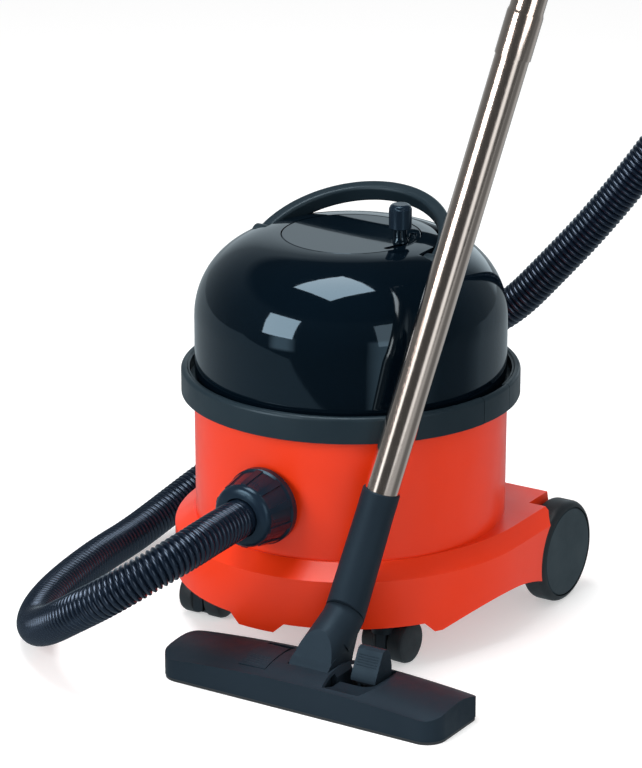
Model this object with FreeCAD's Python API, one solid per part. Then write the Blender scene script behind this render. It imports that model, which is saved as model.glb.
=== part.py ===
"""Tub vacuum cleaner with its hose, steel wand and combination floor tool.

Millimetres, +Z up. The origin is on the tub's axis at floor level, the hose inlet
faces -Y and +X is to the right of someone who faces the same way as +Y. The wand
stands in front of the tub on its floor tool, as in use.
"""
import FreeCAD, Part
import os
from math import acos, cos, pi, radians, sin, sqrt, tan

Vec = FreeCAD.Vector
UP = Vec(0, 0, 1)
RIGHT = Vec(1, 0, 0)
BACK = Vec(0, 1, 0)

# Tub
drum_radius = 152.4
drum_draft = 0.5
shell_wall = 3.0
drum_top = 233.0
drum_floor_over_axle = 3.0
filter_seat = 205.0
skirt_low = 34.0
skirt_edge = 91.5
skirt_top = 105.0
skirt_reach = 20.1
skirt_side_reach = 25.6
skirt_slope_foot = 2.0
skirt_side_slope = 13.0
skirt_front_angle = 58.0
skirt_back = 139.0
castor_arch_top = 44.0
castor_arch_azimuth = 33.0
castor_arch_half = 67.0
side_arch_top = 50.0
side_arch_half = 80.0

# Rear wheels
wheel_radius = 51.0
wheel_width = 27.0
wheel_y = 124.0
wheel_well_clearance = 7.0
wheel_well_gap = 4.0
hub_cap_radius = 44.4
axle_radius = 5.0
running_gap = 0.06

# Castors
castor_x = 105.0
castor_y = -111.0
castor_trail = 16.0
castor_wheel_radius = 21.0
castor_wheel_width = 17.0
castor_web = 11.0
castor_crown_top = 43.6
castor_stem_radius = 5.5
castor_stem_top = 62.2
castor_turn = {"left": 1.0, "right": -2.0}

# Head
collar_overhang = 12.6
collar_low = 226.9
collar_top = 252.6
collar_seat = 240.0
moat_width = 4.8
dome_inset = 0.7
dome_wall_top = 302.4
dome_shoulder_radius = 79.7
dome_shoulder_sweep = 78.8
dome_crown_radius = 130.6
disc_margin = 5.2
disc_gap = 0.6
disc_recess_floor = 372.6
clip_half_angle = 8.4
clip_pin_radius = 1.5
clip_lug_radius = 3.2
clip_pin_x = drum_radius + 6.1
clip_pin_z = collar_low + 4.1

# Carry handle
handle_inset = 56.4
handle_rise = 95.5
handle_pivot_y = -6.0
handle_pivot_z = 367.0
handle_lean = 66.7
handle_band = 13.0
handle_depth = 17.0
handle_foot_radius = 11.5
handle_pin_radius = 3.0

# Reel and its crank
reel_hub_radius = 28.0
reel_flange_radius = 61.0
reel_low = 330.0
reel_high = 366.0
reel_shaft_radius = 8.0
crank_x = 53.0
crank_y = 3.0
knob_radius = 11.0
knob_low = 396.0
knob_high = 420.0
crank_pin_radius = 3.5

# Motor
motor_radius = 70.0
motor_low = 246.0
motor_fan_top = 278.0
motor_high = 314.0
rotor_shaft_radius = 4.0

# Switch and cable outlet at the back
gland_x = -46.0
gland_z = 268.0
gland_depth = 10.5
switch_inset = 8.0

# Inlet and hose
inlet_height = 155.0
inlet_bore = 20.0
inlet_tube_radius = 24.0
cuff_flange_radius = 37.4
cuff_reach = 43.6
hose_radius = 19.0
hose_valley = 16.6
hose_bore = 15.0
hose_ribs = 60

# Wand
wand_radius = 16.0
tube_wall = 1.0
wand_azimuth = 30.12
wand_stand_off = 21.7
wand_foot_z = 69.5
wand_lean = Vec(0.2001, 0.22, 1.0)
neck_lean = Vec(0.0, 0.78, 0.62)
elbow_seam_radius = 19.6
socket_length = 124.7
socket_radius = 17.9
socket_depth = 38.0
lower_tube_length = 500.0
upper_tube_length = 380.0
tube_overlap = 40.0
bend_radius = 90.0
bend_angle = 55.0
bend_tail = 60.0

# Floor tool
tool_left = -58.0
tool_right = 246.0
tool_front = -254.0
tool_back = -172.0
tool_crown = 37.0
tool_front_height = 29.5
tool_back_height = 27.0
tool_arch_x = 104.0
tool_arch_radius = 1500.0
tool_wall = 2.5
valley_left = 125.0
valley_floor = 26.9
hinge_y = -209.0
hinge_z = 22.0
neck_x = 94.5
neck_half = 21.2
neck_barrel = 22.5
neck_bore = 14.4
sole_thickness = 3.0
pedal_left_x = 43.0
pedal_left_y = -203.0
pedal_right_x = 148.5
pedal_right_y = -194.0
pedal_hinge_z = 19.0
pedal_trunnion = 2.5

PARTS = {}


def keep(name, shape):
    """Store one node's shape under its name."""
    PARTS[name] = shape
    return shape


def block(x0, x1, y0, y1, z0, z1):
    """A box between two corners."""
    return Part.makeBox(x1 - x0, y1 - y0, z1 - z0, Vec(x0, y0, z0))


def rod(start, end, radius):
    """A round bar from start to end."""
    way = end - start
    return Part.makeCylinder(radius, way.Length, start, way)


def tube(start, end, outer, inner):
    """A pipe from start to end."""
    return rod(start, end, outer).cut(rod(start, end, inner))


def disc(radius, z0, z1, x=0.0, y=0.0):
    """An upright round slab."""
    return Part.makeCylinder(radius, z1 - z0, Vec(x, y, z0))


def ring(outer, inner, z0, z1, x=0.0, y=0.0):
    """An upright ring."""
    return disc(outer, z0, z1, x, y).cut(disc(inner, z0, z1, x, y))


def outline(steps):
    """A closed wire through steps: (u, v) draws a line, ((u, v), (u, v)) an arc by its middle and end."""
    first = steps[0]
    here = Vec(first[0], 0, first[1])
    start = here
    edges = []
    for step in steps[1:]:
        if isinstance(step[0], tuple):
            middle = Vec(step[0][0], 0, step[0][1])
            there = Vec(step[1][0], 0, step[1][1])
            edges.append(Part.Arc(here, middle, there).toShape())
        else:
            there = Vec(step[0], 0, step[1])
            edges.append(Part.LineSegment(here, there).toShape())
        here = there
    if (here - start).Length > 1e-6:
        edges.append(Part.LineSegment(here, start).toShape())
    return Part.Wire(edges)


def turned(steps):
    """A solid turned about the Z axis from an outline of (radius, height) steps."""
    return Part.Face(outline(steps)).revolve(Vec(0, 0, 0), UP, 360)


def turned_along(steps, base, axis):
    """A solid turned about an axis through base, from (radius, distance along the axis) steps."""
    shape = turned(steps)
    shape.Placement = FreeCAD.Placement(base, FreeCAD.Rotation(UP, axis))
    return shape


def polar(radius, azimuth, z=0.0):
    """A point at an azimuth in degrees from straight ahead (-Y), towards +X."""
    angle = radians(azimuth)
    return Vec(radius * sin(angle), -radius * cos(angle), z)


def moved(shape, x, y, z=0.0):
    """A copy of shape, moved."""
    twin = shape.copy()
    twin.translate(Vec(x, y, z))
    return twin


def spun(shape, angle, base=Vec(0, 0, 0), axis=UP):
    """A copy of shape, turned about an axis."""
    twin = shape.copy()
    twin.rotate(base, axis, angle)
    return twin


def mirrored(shape):
    """The left-hand twin of a right-hand shape."""
    return shape.mirror(Vec(0, 0, 0), RIGHT)


def group(shapes):
    """Separate solids that share a node."""
    return Part.makeCompound(shapes)


# Places that several pieces share
drum_inner = drum_radius - shell_wall
drum_floor = wheel_radius + axle_radius + drum_floor_over_axle + shell_wall
skirt_radius = drum_radius + skirt_reach
skirt_side = drum_radius + skirt_side_reach
wheel_inner = skirt_side - 0.5 - wheel_width
well_wall = wheel_inner - wheel_well_gap
wheel_well_y = wheel_y + 3.0
wheel_well_radius = wheel_radius + wheel_well_clearance
collar_radius = drum_radius + collar_overhang
dome_radius = drum_radius - dome_inset
dome_inner = dome_radius - shell_wall
shoulder_axis = dome_radius - dome_shoulder_radius
shoulder_end_r = shoulder_axis + dome_shoulder_radius * cos(radians(dome_shoulder_sweep))
shoulder_end_z = dome_wall_top + dome_shoulder_radius * sin(radians(dome_shoulder_sweep))
crown_back = dome_shoulder_radius - dome_crown_radius
crown_axis = shoulder_axis + crown_back * cos(radians(dome_shoulder_sweep))
crown_centre_z = dome_wall_top + crown_back * sin(radians(dome_shoulder_sweep))
dome_top = crown_centre_z + dome_crown_radius
disc_radius = crown_axis + disc_margin
handle_span = drum_radius - handle_inset
wand_foot = polar(skirt_radius + wand_stand_off, wand_azimuth, wand_foot_z)
wand_way = Vec(wand_lean).normalize()
neck_way = Vec(neck_lean).normalize()
gland_y = sqrt(dome_radius ** 2 - gland_x ** 2) - gland_depth
switch_y = dome_radius - switch_inset
wheel_outer = wheel_inner + wheel_width


def dome_height(radius):
    """Height of the dome's outer face at a radius from the axis."""
    if radius <= crown_axis:
        return dome_top
    if radius <= shoulder_end_r:
        return crown_centre_z + sqrt(dome_crown_radius ** 2 - (radius - crown_axis) ** 2)
    return dome_wall_top + sqrt(dome_shoulder_radius ** 2 - (radius - shoulder_axis) ** 2)


def skirt_ring(inset, front_inset, z):
    """The skirt's plan as a wire: front arc, two flank arcs, straight sides and a square back."""
    side = skirt_side - inset
    front = skirt_radius - front_inset
    back = skirt_back - min(inset, shell_wall)
    angle = radians(skirt_front_angle)
    hip = Vec(front * sin(angle), -front * cos(angle), z)
    bend = (side - hip.x) / (1 - cos(pi / 2 - angle))
    middle = (pi / 2 - angle) / 2
    centre = Vec(side - bend, hip.y + bend * sin(pi / 2 - angle), z)
    flank = centre + Vec(bend * cos(middle), -bend * sin(middle), 0)
    shoulder = Vec(side, centre.y, z)
    corner = 22.0
    turn = corner * (1 - cos(pi / 4))
    right = [
        Part.Arc(hip, flank, shoulder).toShape(),
        Part.LineSegment(shoulder, Vec(side, back - corner, z)).toShape(),
        Part.Arc(Vec(side, back - corner, z), Vec(side - turn, back - turn, z), Vec(side - corner, back, z)).toShape(),
    ]
    flip = Vec(-1, 1, 1)

    def other(point):
        return Vec(point.x * flip.x, point.y, point.z)

    left = [
        Part.Arc(Vec(corner - side, back, z), Vec(turn - side, back - turn, z), Vec(-side, back - corner, z)).toShape(),
        Part.LineSegment(Vec(-side, back - corner, z), other(shoulder)).toShape(),
        Part.Arc(other(shoulder), other(flank), other(hip)).toShape(),
    ]
    back_edge = Part.LineSegment(Vec(side - corner, back, z), Vec(corner - side, back, z)).toShape()
    front_edge = Part.Arc(other(hip), Vec(0, -front, z), hip).toShape()
    return Part.Wire([front_edge] + right + [back_edge] + left)


def skirt_body(wall, low):
    """The skirt's solid, shrunk by a wall: a straight band and the slope up to the drum."""
    edge = skirt_edge - wall * 0.6
    top = skirt_top - wall
    band = Part.Face(skirt_ring(wall, wall, low)).extrude(Vec(0, 0, edge - low))
    slope_reach = skirt_reach - skirt_slope_foot
    foot = skirt_ring(wall, wall, edge)
    crest = skirt_ring(wall + skirt_side_slope, wall + slope_reach, top)
    return band.fuse(Part.makeLoft([foot, crest], True, True)).removeSplitter()


def side_arch():
    """The cutter for the low arch in each side of the skirt, a wide bar along X."""
    rise = side_arch_top - skirt_low
    radius = (side_arch_half ** 2 + rise ** 2) / (2 * rise)
    return Part.makeCylinder(radius, 80.0, Vec(skirt_side - 62.0, 0, side_arch_top - radius), RIGHT)


def castor_arch():
    """The cutter for the arch over a castor, with sloped ends, under the skirt's front."""
    half = castor_arch_half
    slope = castor_arch_top - skirt_low + 1
    bar = Part.Face(Part.makePolygon([
        Vec(-half - slope, 0, skirt_low - 1), Vec(half + slope, 0, skirt_low - 1), Vec(half, 0, castor_arch_top),
        Vec(-half, 0, castor_arch_top), Vec(-half - slope, 0, skirt_low - 1)])).extrude(Vec(0, -100, 0))
    bar = spun(moved(bar, 0, 12 - drum_radius + 20, 0), castor_arch_azimuth)
    return bar.cut(disc(drum_inner - 20, skirt_low - 2, castor_arch_top + 1))


def tub_shell():
    """The red tub: drum, floor, flared skirt, wheel wells, castor bosses and clip lugs."""
    low_radius = drum_radius - drum_draft
    drum = turned([(0, drum_floor - shell_wall), (low_radius, drum_floor - shell_wall), (low_radius, skirt_top),
                   (drum_radius, collar_low - 3), (drum_radius, drum_top), (0, drum_top)])
    body = skirt_body(0.0, skirt_low)
    hollow = skirt_body(shell_wall, skirt_low - 1)
    core = disc(low_radius, drum_floor - shell_wall, skirt_top + 20)
    shell = body.cut(hollow.cut(core))
    mouth = turned([(0, drum_floor), (low_radius - shell_wall - 8, drum_floor),
                    ((low_radius - shell_wall - 2.3, drum_floor + 2.3), (low_radius - shell_wall, drum_floor + 8)),
                    (drum_inner, drum_top + 1), (0, drum_top + 1)])
    shell = shell.fuse(drum)
    well = rod(Vec(well_wall, wheel_well_y, wheel_radius), Vec(skirt_side + 1, wheel_well_y, wheel_radius),
               wheel_well_radius)
    well = well.fuse(block(well_wall, skirt_side + 1, skirt_back - 41, skirt_back + 50, wheel_radius, skirt_top + 1))
    liner = rod(Vec(well_wall - shell_wall, wheel_well_y, wheel_radius),
                Vec(skirt_side, wheel_well_y, wheel_radius), wheel_well_radius + shell_wall)
    liner = liner.common(body)
    boss = rod(Vec(well_wall - 26, wheel_y, wheel_radius), Vec(well_wall, wheel_y, wheel_radius), axle_radius + 6)
    gusset = block(well_wall - 22, well_wall - shell_wall, wheel_y - 2, wheel_y + 2, wheel_radius, skirt_top - 1)
    stem_boss = disc(castor_stem_radius + 5, castor_arch_top, castor_stem_top + 12, castor_x, castor_y)
    lug = block(drum_radius - 1, clip_pin_x, -9, 9, clip_pin_z - clip_lug_radius, drum_top - 0.2).fuse(
        rod(Vec(clip_pin_x, -9, clip_pin_z), Vec(clip_pin_x, 9, clip_pin_z), clip_lug_radius))
    for side in (1, -1):
        for piece in (liner, boss, gusset, stem_boss.common(body), lug):
            shell = shell.fuse(piece if side > 0 else mirrored(piece))
    shell = shell.cut(mouth)
    under = liner_under()
    for side in (1, -1):
        cutters = [well, castor_arch(), side_arch(), under,
                   rod(Vec(well_wall - 30, wheel_y, wheel_radius), Vec(well_wall + 1, wheel_y, wheel_radius),
                       axle_radius),
                   disc(castor_stem_radius + running_gap, castor_arch_top - 1, castor_stem_top + 0.3,
                        castor_x, castor_y),
                   rod(Vec(clip_pin_x, -10, clip_pin_z), Vec(clip_pin_x, 10, clip_pin_z),
                       clip_pin_radius)]
        for cutter in cutters:
            shell = shell.cut(cutter if side > 0 else mirrored(cutter))
    inlet = rod(Vec(0, -drum_radius - 20, inlet_height), Vec(0, -drum_radius + 40, inlet_height), inlet_tube_radius)
    shell = shell.cut(inlet)
    ledge = ring(drum_inner + 1.0, drum_inner - 4.5, filter_seat - 3.0, filter_seat)
    return shell.fuse(ledge).removeSplitter()


def liner_under():
    """Trims what a wheel well's liner leaves below the skirt's hem."""
    return block(well_wall - shell_wall - 1, skirt_side + 1, 60, 200, -5, skirt_low)


def inlet_neck():
    """The black neck that is pressed into the drum and takes the hose cuff."""
    reach = drum_radius + 12.0
    return turned_along([
        (inlet_bore, 0), (inlet_tube_radius, 0), (inlet_tube_radius, 17.5), (29.1, 21.0), (29.1, 24.0),
        (27.4, 24.0), (27.4, 33.0), (29.1, 34.0), (29.1, 36.5), (27.0, 38.0), (inlet_bore, 38.0)],
        Vec(0, -reach + 24.0, inlet_height), Vec(0, -1, 0))


def hose_cuff():
    """The bayonet cuff on the hose: a flange and a ribbed cone that turns on the neck."""
    back = -(drum_radius + 2.2)
    length = cuff_reach
    flange = cuff_flange_radius
    shell = turned_along([
        (30.4, 0.6), (flange - 1.2, 0.6), (flange, 2.0), (flange, 8.0), (flange - 2.2, 9.2),
        (flange - 6.4, length - 9.0), ((flange - 8.0, length - 3.6), (flange - 12.0, length - 1.0)),
        (flange - 15.0, length), (hose_radius + 0.3, length), (hose_radius + 0.3, length - 14),
        (20.5, length - 14), (20.5, 26.0), (29.5, 26.0), (29.5, 5.0)],
        Vec(0, back, inlet_height), Vec(0, -1, 0))
    room = rod(Vec(0, back, inlet_height), Vec(0, back - 26.0, inlet_height), 29.5)
    grips = []
    for index in range(10):
        bar = Part.makeLoft([grip_end(back - 7.0, flange - 4.0, flange - 0.6, 4.4),
                             grip_end(back - length + 7.0, flange - 11.0, flange - 5.6, 3.6)], True, True)
        bar = moved(bar, 0, 0, inlet_height)
        grips.append(spun(bar, index * 36.0 + 18.0, Vec(0, 0, inlet_height), BACK))
    return shell.fuse(grips).cut(room).removeSplitter()


def grip_end(y, low, high, half):
    """One end of a grip bar: a closed trapezium at a place along Y, from low to high above the axis."""
    return Part.makePolygon([Vec(low, y, -half), Vec(high, y, 0.8 - half), Vec(high, y, half - 0.8),
                             Vec(low, y, half), Vec(low, y, -half)])


def filter_frame():
    """The basket that holds the cloth filter open: a flange ring, six ribs and a foot ring."""
    flange = ring(drum_inner - 0.8, 121.0, filter_seat, filter_seat + 4.0)
    foot = ring(93.0, 84.0, 118.0, 122.0)
    ribs = []
    for index in range(6):
        rib = Part.Face(Part.makePolygon([
            Vec(122.0, -2.5, 205.2), Vec(122.0, -2.5, 209.2), Vec(115.0, -2.5, 209.2), Vec(85.0, -2.5, 122.0),
            Vec(85.0, -2.5, 118.0), Vec(92.0, -2.5, 118.0), Vec(122.0, -2.5, 205.2)])).extrude(Vec(0, 5, 0))
        ribs.append(spun(rib, index * 60.0 + 30.0))
    return flange.fuse([foot] + ribs).removeSplitter()


def filter_cloth():
    """The cloth filter: a tapered bag with a flat bottom that hangs round its basket."""
    return turned([(0, 114.0), (93.0, 114.0), (96.5, 117.5), (125.8, 204.9), (123.4, 204.9), (94.2, 117.7),
                   (92.6, 116.2), (0, 116.2)])


def rear_axle():
    """The steel rod that carries both rear wheels."""
    reach = wheel_outer - 7.0
    return rod(Vec(-reach, wheel_y, wheel_radius), Vec(reach, wheel_y, wheel_radius), axle_radius)


def rear_wheel():
    """The right wheel: rounded tread, dished web and hub."""
    width = wheel_width
    edge = 7.0
    soft = edge * (1 - cos(pi / 4))
    return turned_along([
        (axle_radius + running_gap, 0), (13.0, 0), (13.0, 9.0), (wheel_radius - 9, 9.0), (wheel_radius - 9, 1.5),
        (wheel_radius - edge, 0), ((wheel_radius - soft, soft), (wheel_radius, edge)),
        (wheel_radius, width - edge), ((wheel_radius - soft, width - soft), (wheel_radius - edge + 1, width)),
        (hub_cap_radius + 0.9, width - 0.2), (hub_cap_radius + 0.9, width - 4.5), (13.0, width - 7.0),
        (13.0, width - 7.5), (axle_radius + running_gap, width - 7.5)],
        Vec(wheel_inner, wheel_y, wheel_radius), RIGHT)


def hub_cap():
    """The plain disc pressed into the wheel's outer side, slightly crowned."""
    return turned_along([
        (0, wheel_width - 4.4), (hub_cap_radius, wheel_width - 4.4), (hub_cap_radius, wheel_width - 1.2),
        (hub_cap_radius - 1.2, wheel_width - 0.2), (0, wheel_width - 0.2)],
        Vec(wheel_inner, wheel_y, wheel_radius), RIGHT)


def castor_frame():
    """A castor's stem and web in its own frame: stem on the axis, wheels trailing behind it."""
    axle = Vec(0, castor_trail, castor_wheel_radius)
    half = castor_web / 2
    web = rod(axle - Vec(half, 0, 0), axle + Vec(half, 0, 0), castor_wheel_radius - 1.5)
    front = block(-half, half, castor_trail - castor_wheel_radius + 1.0, castor_trail, 9.0, castor_crown_top)
    crown = disc(11.0, castor_wheel_radius + 12, castor_crown_top)
    stem = disc(castor_stem_radius, castor_crown_top - 1, castor_stem_top)
    bore = rod(axle - Vec(30, 0, 0), axle + Vec(30, 0, 0), 3.0)
    frame = web.fuse([front, crown, stem])
    for side in (1, -1):
        wheel_room = rod(axle + Vec(side * half, 0, 0), axle + Vec(side * 40, 0, 0), castor_wheel_radius + 1.0)
        frame = frame.cut(wheel_room)
    return frame.cut(bore).removeSplitter()


def castor_axle():
    """The steel pin through a castor's web."""
    reach = castor_web / 2 + 0.5 + castor_wheel_width - 2.5
    return rod(Vec(-reach, castor_trail, castor_wheel_radius), Vec(reach, castor_trail, castor_wheel_radius), 3.0)


def castor_wheel():
    """One of a castor's two wheels, on the right of the web."""
    width = castor_wheel_width
    return turned_along([
        (3.0 + running_gap, 0), (8.0, 0), (8.0, 3.0), (castor_wheel_radius - 4, 3.0), (castor_wheel_radius - 4, 0.6),
        (castor_wheel_radius - 2, 0), (castor_wheel_radius, 2.0), (castor_wheel_radius, width - 4),
        (castor_wheel_radius - 1.2, width - 1.2), (castor_wheel_radius - 4, width), (4.0, width - 0.6),
        (0, width - 0.6), (0, width - 2.2), (3.0 + running_gap, width - 2.2)],
        Vec(castor_web / 2 + 0.5, castor_trail, castor_wheel_radius), RIGHT)


def placed_castor(shape, side):
    """A castor piece, turned and set on the left or right stem."""
    x = castor_x if side == "right" else -castor_x
    return moved(spun(shape, castor_turn[side]), x, castor_y)


def head_collar():
    """The ring that the head stands on, with its motor deck, spigot and moat."""
    outer = collar_radius
    moat = dome_radius + moat_width
    seat = drum_radius + 1.0
    rim = 4.0
    soft = rim * (1 - cos(pi / 4))
    shape = turned([
        (46.0, collar_seat - 4), (145.0, collar_seat - 4), (145.0, 216.0), (drum_inner - 1.0, 216.0),
        (drum_inner - 1.0, drum_top + 2.6), (seat, drum_top + 2.6), (seat, collar_low),
        (seat + 3.0, collar_low), (seat + 3.0, collar_seat - 3), (outer - 3.0, collar_seat - 3),
        (outer - 3.0, collar_low), (outer, collar_low), (outer, collar_top - rim),
        ((outer - soft, collar_top - soft), (outer - rim, collar_top)), (moat + 3.0, collar_top),
        (moat + 1.6, collar_top - 1.4), (moat, collar_top - 1.4), (moat, collar_seat), (46.0, collar_seat)])
    for side in (0, 180):
        gap = Part.makeCylinder(outer + 5, collar_top - collar_low + 2, Vec(0, 0, collar_low - 1), UP,
                                2 * clip_half_angle + 0.4)
        gap = spun(gap, side - clip_half_angle - 0.2)
        low = gap.cut(disc(seat - 0.4, collar_low - 2, collar_seat - 3))
        low = low.common(disc(outer + 6, collar_low - 2, collar_seat - 3))
        high = gap.common(disc(outer + 6, collar_seat - 3, collar_top + 2))
        latch = turned([(0, collar_seat - 3), (moat + 1.4, collar_seat - 3), (moat + 3.2, collar_top - 4),
                        (moat + 3.2, collar_top - 3.4), (0, collar_top - 3.4)])
        shape = shape.cut(low).cut(high.cut(latch))
    return shape.removeSplitter()


def head_clip():
    """The right-hand clip: a curved plate that hinges on the tub and grips the collar's latch rail."""
    outer = collar_radius
    moat = dome_radius + moat_width
    rim = 4.0
    soft = rim * (1 - cos(pi / 4))
    plate = turned([
        (moat + 2.0, collar_low + 0.3), (outer, collar_low + 0.3), (outer, collar_top - rim),
        ((outer - soft, collar_top - soft), (outer - rim, collar_top)), (moat + 4.0, collar_top),
        (moat + 3.6, collar_top - 4.0), (moat + 1.8, collar_seat - 3)])
    sector = Part.makeCylinder(outer + 5, 40, Vec(0, 0, collar_low - 5), UP, 2 * clip_half_angle)
    plate = plate.common(spun(sector, -clip_half_angle))
    eye = rod(Vec(clip_pin_x, -14, clip_pin_z), Vec(clip_pin_x, 14, clip_pin_z), 3.6)
    plate = plate.fuse(eye)
    room = block(drum_radius - 5, outer - 2.4, -9.4, 9.4, collar_low - 1, collar_low + 9.5)
    plate = plate.cut(room)
    inside = block(drum_radius, moat + 5, -40, 40, collar_low - 1, collar_low + 0.3)
    bore = rod(Vec(clip_pin_x, -20, clip_pin_z), Vec(clip_pin_x, 20, clip_pin_z),
               clip_pin_radius + running_gap)
    return plate.cut(inside).cut(bore).removeSplitter()


def clip_pin():
    """The pin of the right-hand clip, fixed in the tub's lug."""
    return rod(Vec(clip_pin_x, -13, clip_pin_z), Vec(clip_pin_x, 13, clip_pin_z), clip_pin_radius)


def head_seal():
    """The rubber ring between the drum's rim and the collar."""
    return ring(drum_radius + 0.7, drum_inner - 0.7, drum_top + 0.3, drum_top + 2.6)


def handle_band_outline(clear):
    """The hoop's outline in its own plane as a face: half an ellipse on two straight feet, grown by clear."""
    half = handle_band / 2 + clear
    steps = 24
    points_out = []
    points_in = []
    for index in range(steps + 1):
        angle = pi * index / steps
        points_out.append(Vec((handle_span + half) * cos(angle), (handle_rise + half) * sin(angle), 0))
        points_in.append(Vec((handle_span - half) * cos(angle), (handle_rise - half) * sin(angle), 0))
    curve_out = Part.BSplineCurve()
    curve_out.interpolate(points_out)
    curve_in = Part.BSplineCurve()
    curve_in.interpolate(points_in)
    edges = [curve_out.toShape(), Part.LineSegment(points_out[-1], points_in[-1]).toShape(),
             curve_in.toShape(), Part.LineSegment(points_in[0], points_out[0]).toShape()]
    return Part.Face(Part.Wire(Part.__sortEdges__(edges)))


def handle_placement(lean):
    """Stands the hoop's plane on its pivot line, leaning back by an angle from upright."""
    along = Vec(0, sin(radians(lean)), cos(radians(lean)))
    normal = RIGHT.cross(along)
    return FreeCAD.Placement(Vec(0, handle_pivot_y, handle_pivot_z),
                             FreeCAD.Rotation(RIGHT, along, normal, "ZXY"))


def carry_handle():
    """The hoop handle with its two pivot feet."""
    half = handle_depth / 2
    hoop = moved(handle_band_outline(0.0).extrude(Vec(0, 0, handle_depth)), 0, 0, -half)
    rims = [edge for edge in hoop.Edges if abs(edge.BoundBox.ZMax - edge.BoundBox.ZMin) < 1e-3
            and edge.Length > 4 * handle_band]
    hoop = hoop.makeFillet(3.5, rims)
    hoop.Placement = handle_placement(handle_lean).multiply(hoop.Placement)
    shape = hoop
    for side in (1, -1):
        start = Vec(side * (handle_span - 9.0), handle_pivot_y, handle_pivot_z)
        end = Vec(side * (handle_span + 8.5), handle_pivot_y, handle_pivot_z)
        shape = shape.fuse(rod(start, end, handle_foot_radius))
        shape = shape.cut(rod(start - Vec(side * 5, 0, 0), end + Vec(side * 5, 0, 0),
                              handle_pin_radius + running_gap))
    return shape.removeSplitter()


def handle_room():
    """The recess in the dome that the handle's feet and legs swing in."""
    low = handle_band_outline(1.6).extrude(Vec(0, 0, 60))
    low = moved(low, 0, 0, -handle_depth / 2 - 1.2)
    low.Placement = handle_placement(handle_lean + 8.0).multiply(low.Placement)
    rooms = [low]
    for side in (1, -1):
        start = Vec(side * (handle_span - 9.8), handle_pivot_y, handle_pivot_z)
        end = Vec(side * (handle_span + 9.3), handle_pivot_y, handle_pivot_z)
        rooms.append(rod(start, end, handle_foot_radius + 1.0))
        rooms.append(block(min(start.x, end.x), max(start.x, end.x), handle_pivot_y - handle_foot_radius - 1,
                           handle_pivot_y + handle_foot_radius + 1, handle_pivot_z, handle_pivot_z + 40))
    return rooms


def dome_cover():
    """The domed cover: wall, shoulder and crown, the disc's recess and the handle's pockets."""
    wall = shell_wall

    def dome_face(inset, foot):
        shoulder = dome_shoulder_radius - inset
        crown = dome_crown_radius - inset
        half = radians(dome_shoulder_sweep / 2)
        turn = radians(dome_shoulder_sweep)
        crown_turn = (turn + pi / 2) / 2
        return turned([
            (0, foot), (dome_radius - inset, foot), (dome_radius - inset, dome_wall_top),
            ((shoulder_axis + shoulder * cos(half), dome_wall_top + shoulder * sin(half)),
             (shoulder_axis + shoulder * cos(turn), dome_wall_top + shoulder * sin(turn))),
            ((crown_axis + crown * cos(crown_turn), crown_centre_z + crown * sin(crown_turn)),
             (crown_axis, crown_centre_z + crown)), (0, crown_centre_z + crown)])

    outer = dome_face(0.0, collar_seat)
    inner = dome_face(wall, collar_seat - 1)
    recess = disc_radius + disc_gap
    inner = inner.cut(disc(recess + wall, disc_recess_floor - wall, dome_top))
    for side in (1, -1):
        near = handle_span - 9.8 - wall
        far = handle_span + 9.3 + wall
        inner = inner.cut(block(min(side * near, side * far), max(side * near, side * far),
                                handle_pivot_y - handle_foot_radius - 1 - wall, handle_pivot_y + 50,
                                handle_pivot_z - handle_foot_radius - 1 - wall, dome_top))
    shell = outer.cut(inner)
    shell = shell.cut(disc(recess, disc_recess_floor, dome_top + 1))
    shell = shell.cut(disc(reel_shaft_radius + running_gap, disc_recess_floor - 10, dome_top))
    for room in handle_room():
        shell = shell.cut(room)
    for side in (1, -1):
        shell = shell.cut(rod(Vec(side * (handle_span - 16), handle_pivot_y, handle_pivot_z),
                              Vec(side * (handle_span + 12.0), handle_pivot_y, handle_pivot_z), handle_pin_radius))
    shell = shell.cut(block(-15.4, 15.4, dome_radius - 12, dome_radius + 5, 269.6, 292.4))
    shell = shell.cut(rod(Vec(gland_x, 0, gland_z), Vec(gland_x, dome_radius + 5, gland_z), 8.0))
    shell = shell.cut(rod(Vec(gland_x, gland_y + 9.0, gland_z), Vec(gland_x, dome_radius + 5, gland_z), 10.5))
    hinge = rod(Vec(-17.5, switch_y, 281), Vec(17.5, switch_y, 281), 3.5)
    frame = block(-18.4, 18.4, dome_radius - 14, dome_radius - 1.4, 266.6, 295.4).cut(
        block(-15.4, 15.4, dome_radius - 20, dome_radius + 5, 269.6, 292.4))
    shell = shell.fuse(frame.common(outer)).cut(hinge.common(block(-17.4, 17.4, 0, 200, 270, 290)))
    return shell.removeSplitter()


def handle_pins():
    """The two steel pins of the carry handle."""
    pins = []
    for side in (1, -1):
        pins.append(rod(Vec(side * (handle_span - 15.5), handle_pivot_y, handle_pivot_z),
                        Vec(side * (handle_span + 11.5), handle_pivot_y, handle_pivot_z), handle_pin_radius))
    return group(pins)


def power_switch():
    """The rocker of the power switch at the back of the head."""
    rocker = rod(Vec(-15.0, switch_y, 281), Vec(15.0, switch_y, 281), 10.6)
    rocker = rocker.common(block(-15.0, 15.0, switch_y - 2, dome_radius + 2.4, 270.4, 291.6))
    hollow = rod(Vec(-20, dome_radius + 8.6, 281), Vec(20, dome_radius + 8.6, 281), 8.0)
    rocker = rocker.cut(hollow)
    trunnion = rod(Vec(-17.2, switch_y, 281), Vec(17.2, switch_y, 281), 3.44)
    return rocker.fuse(trunnion).removeSplitter()


def cable_gland():
    """The grommet where the mains cable would leave the head."""
    return turned_along([(4.2, 0), (8.0, 0), (8.0, 9.0), (10.5, 9.0), (10.5, 12.5), (8.5, 15.0), (4.2, 15.0)],
                        Vec(gland_x, gland_y, gland_z), BACK)


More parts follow.
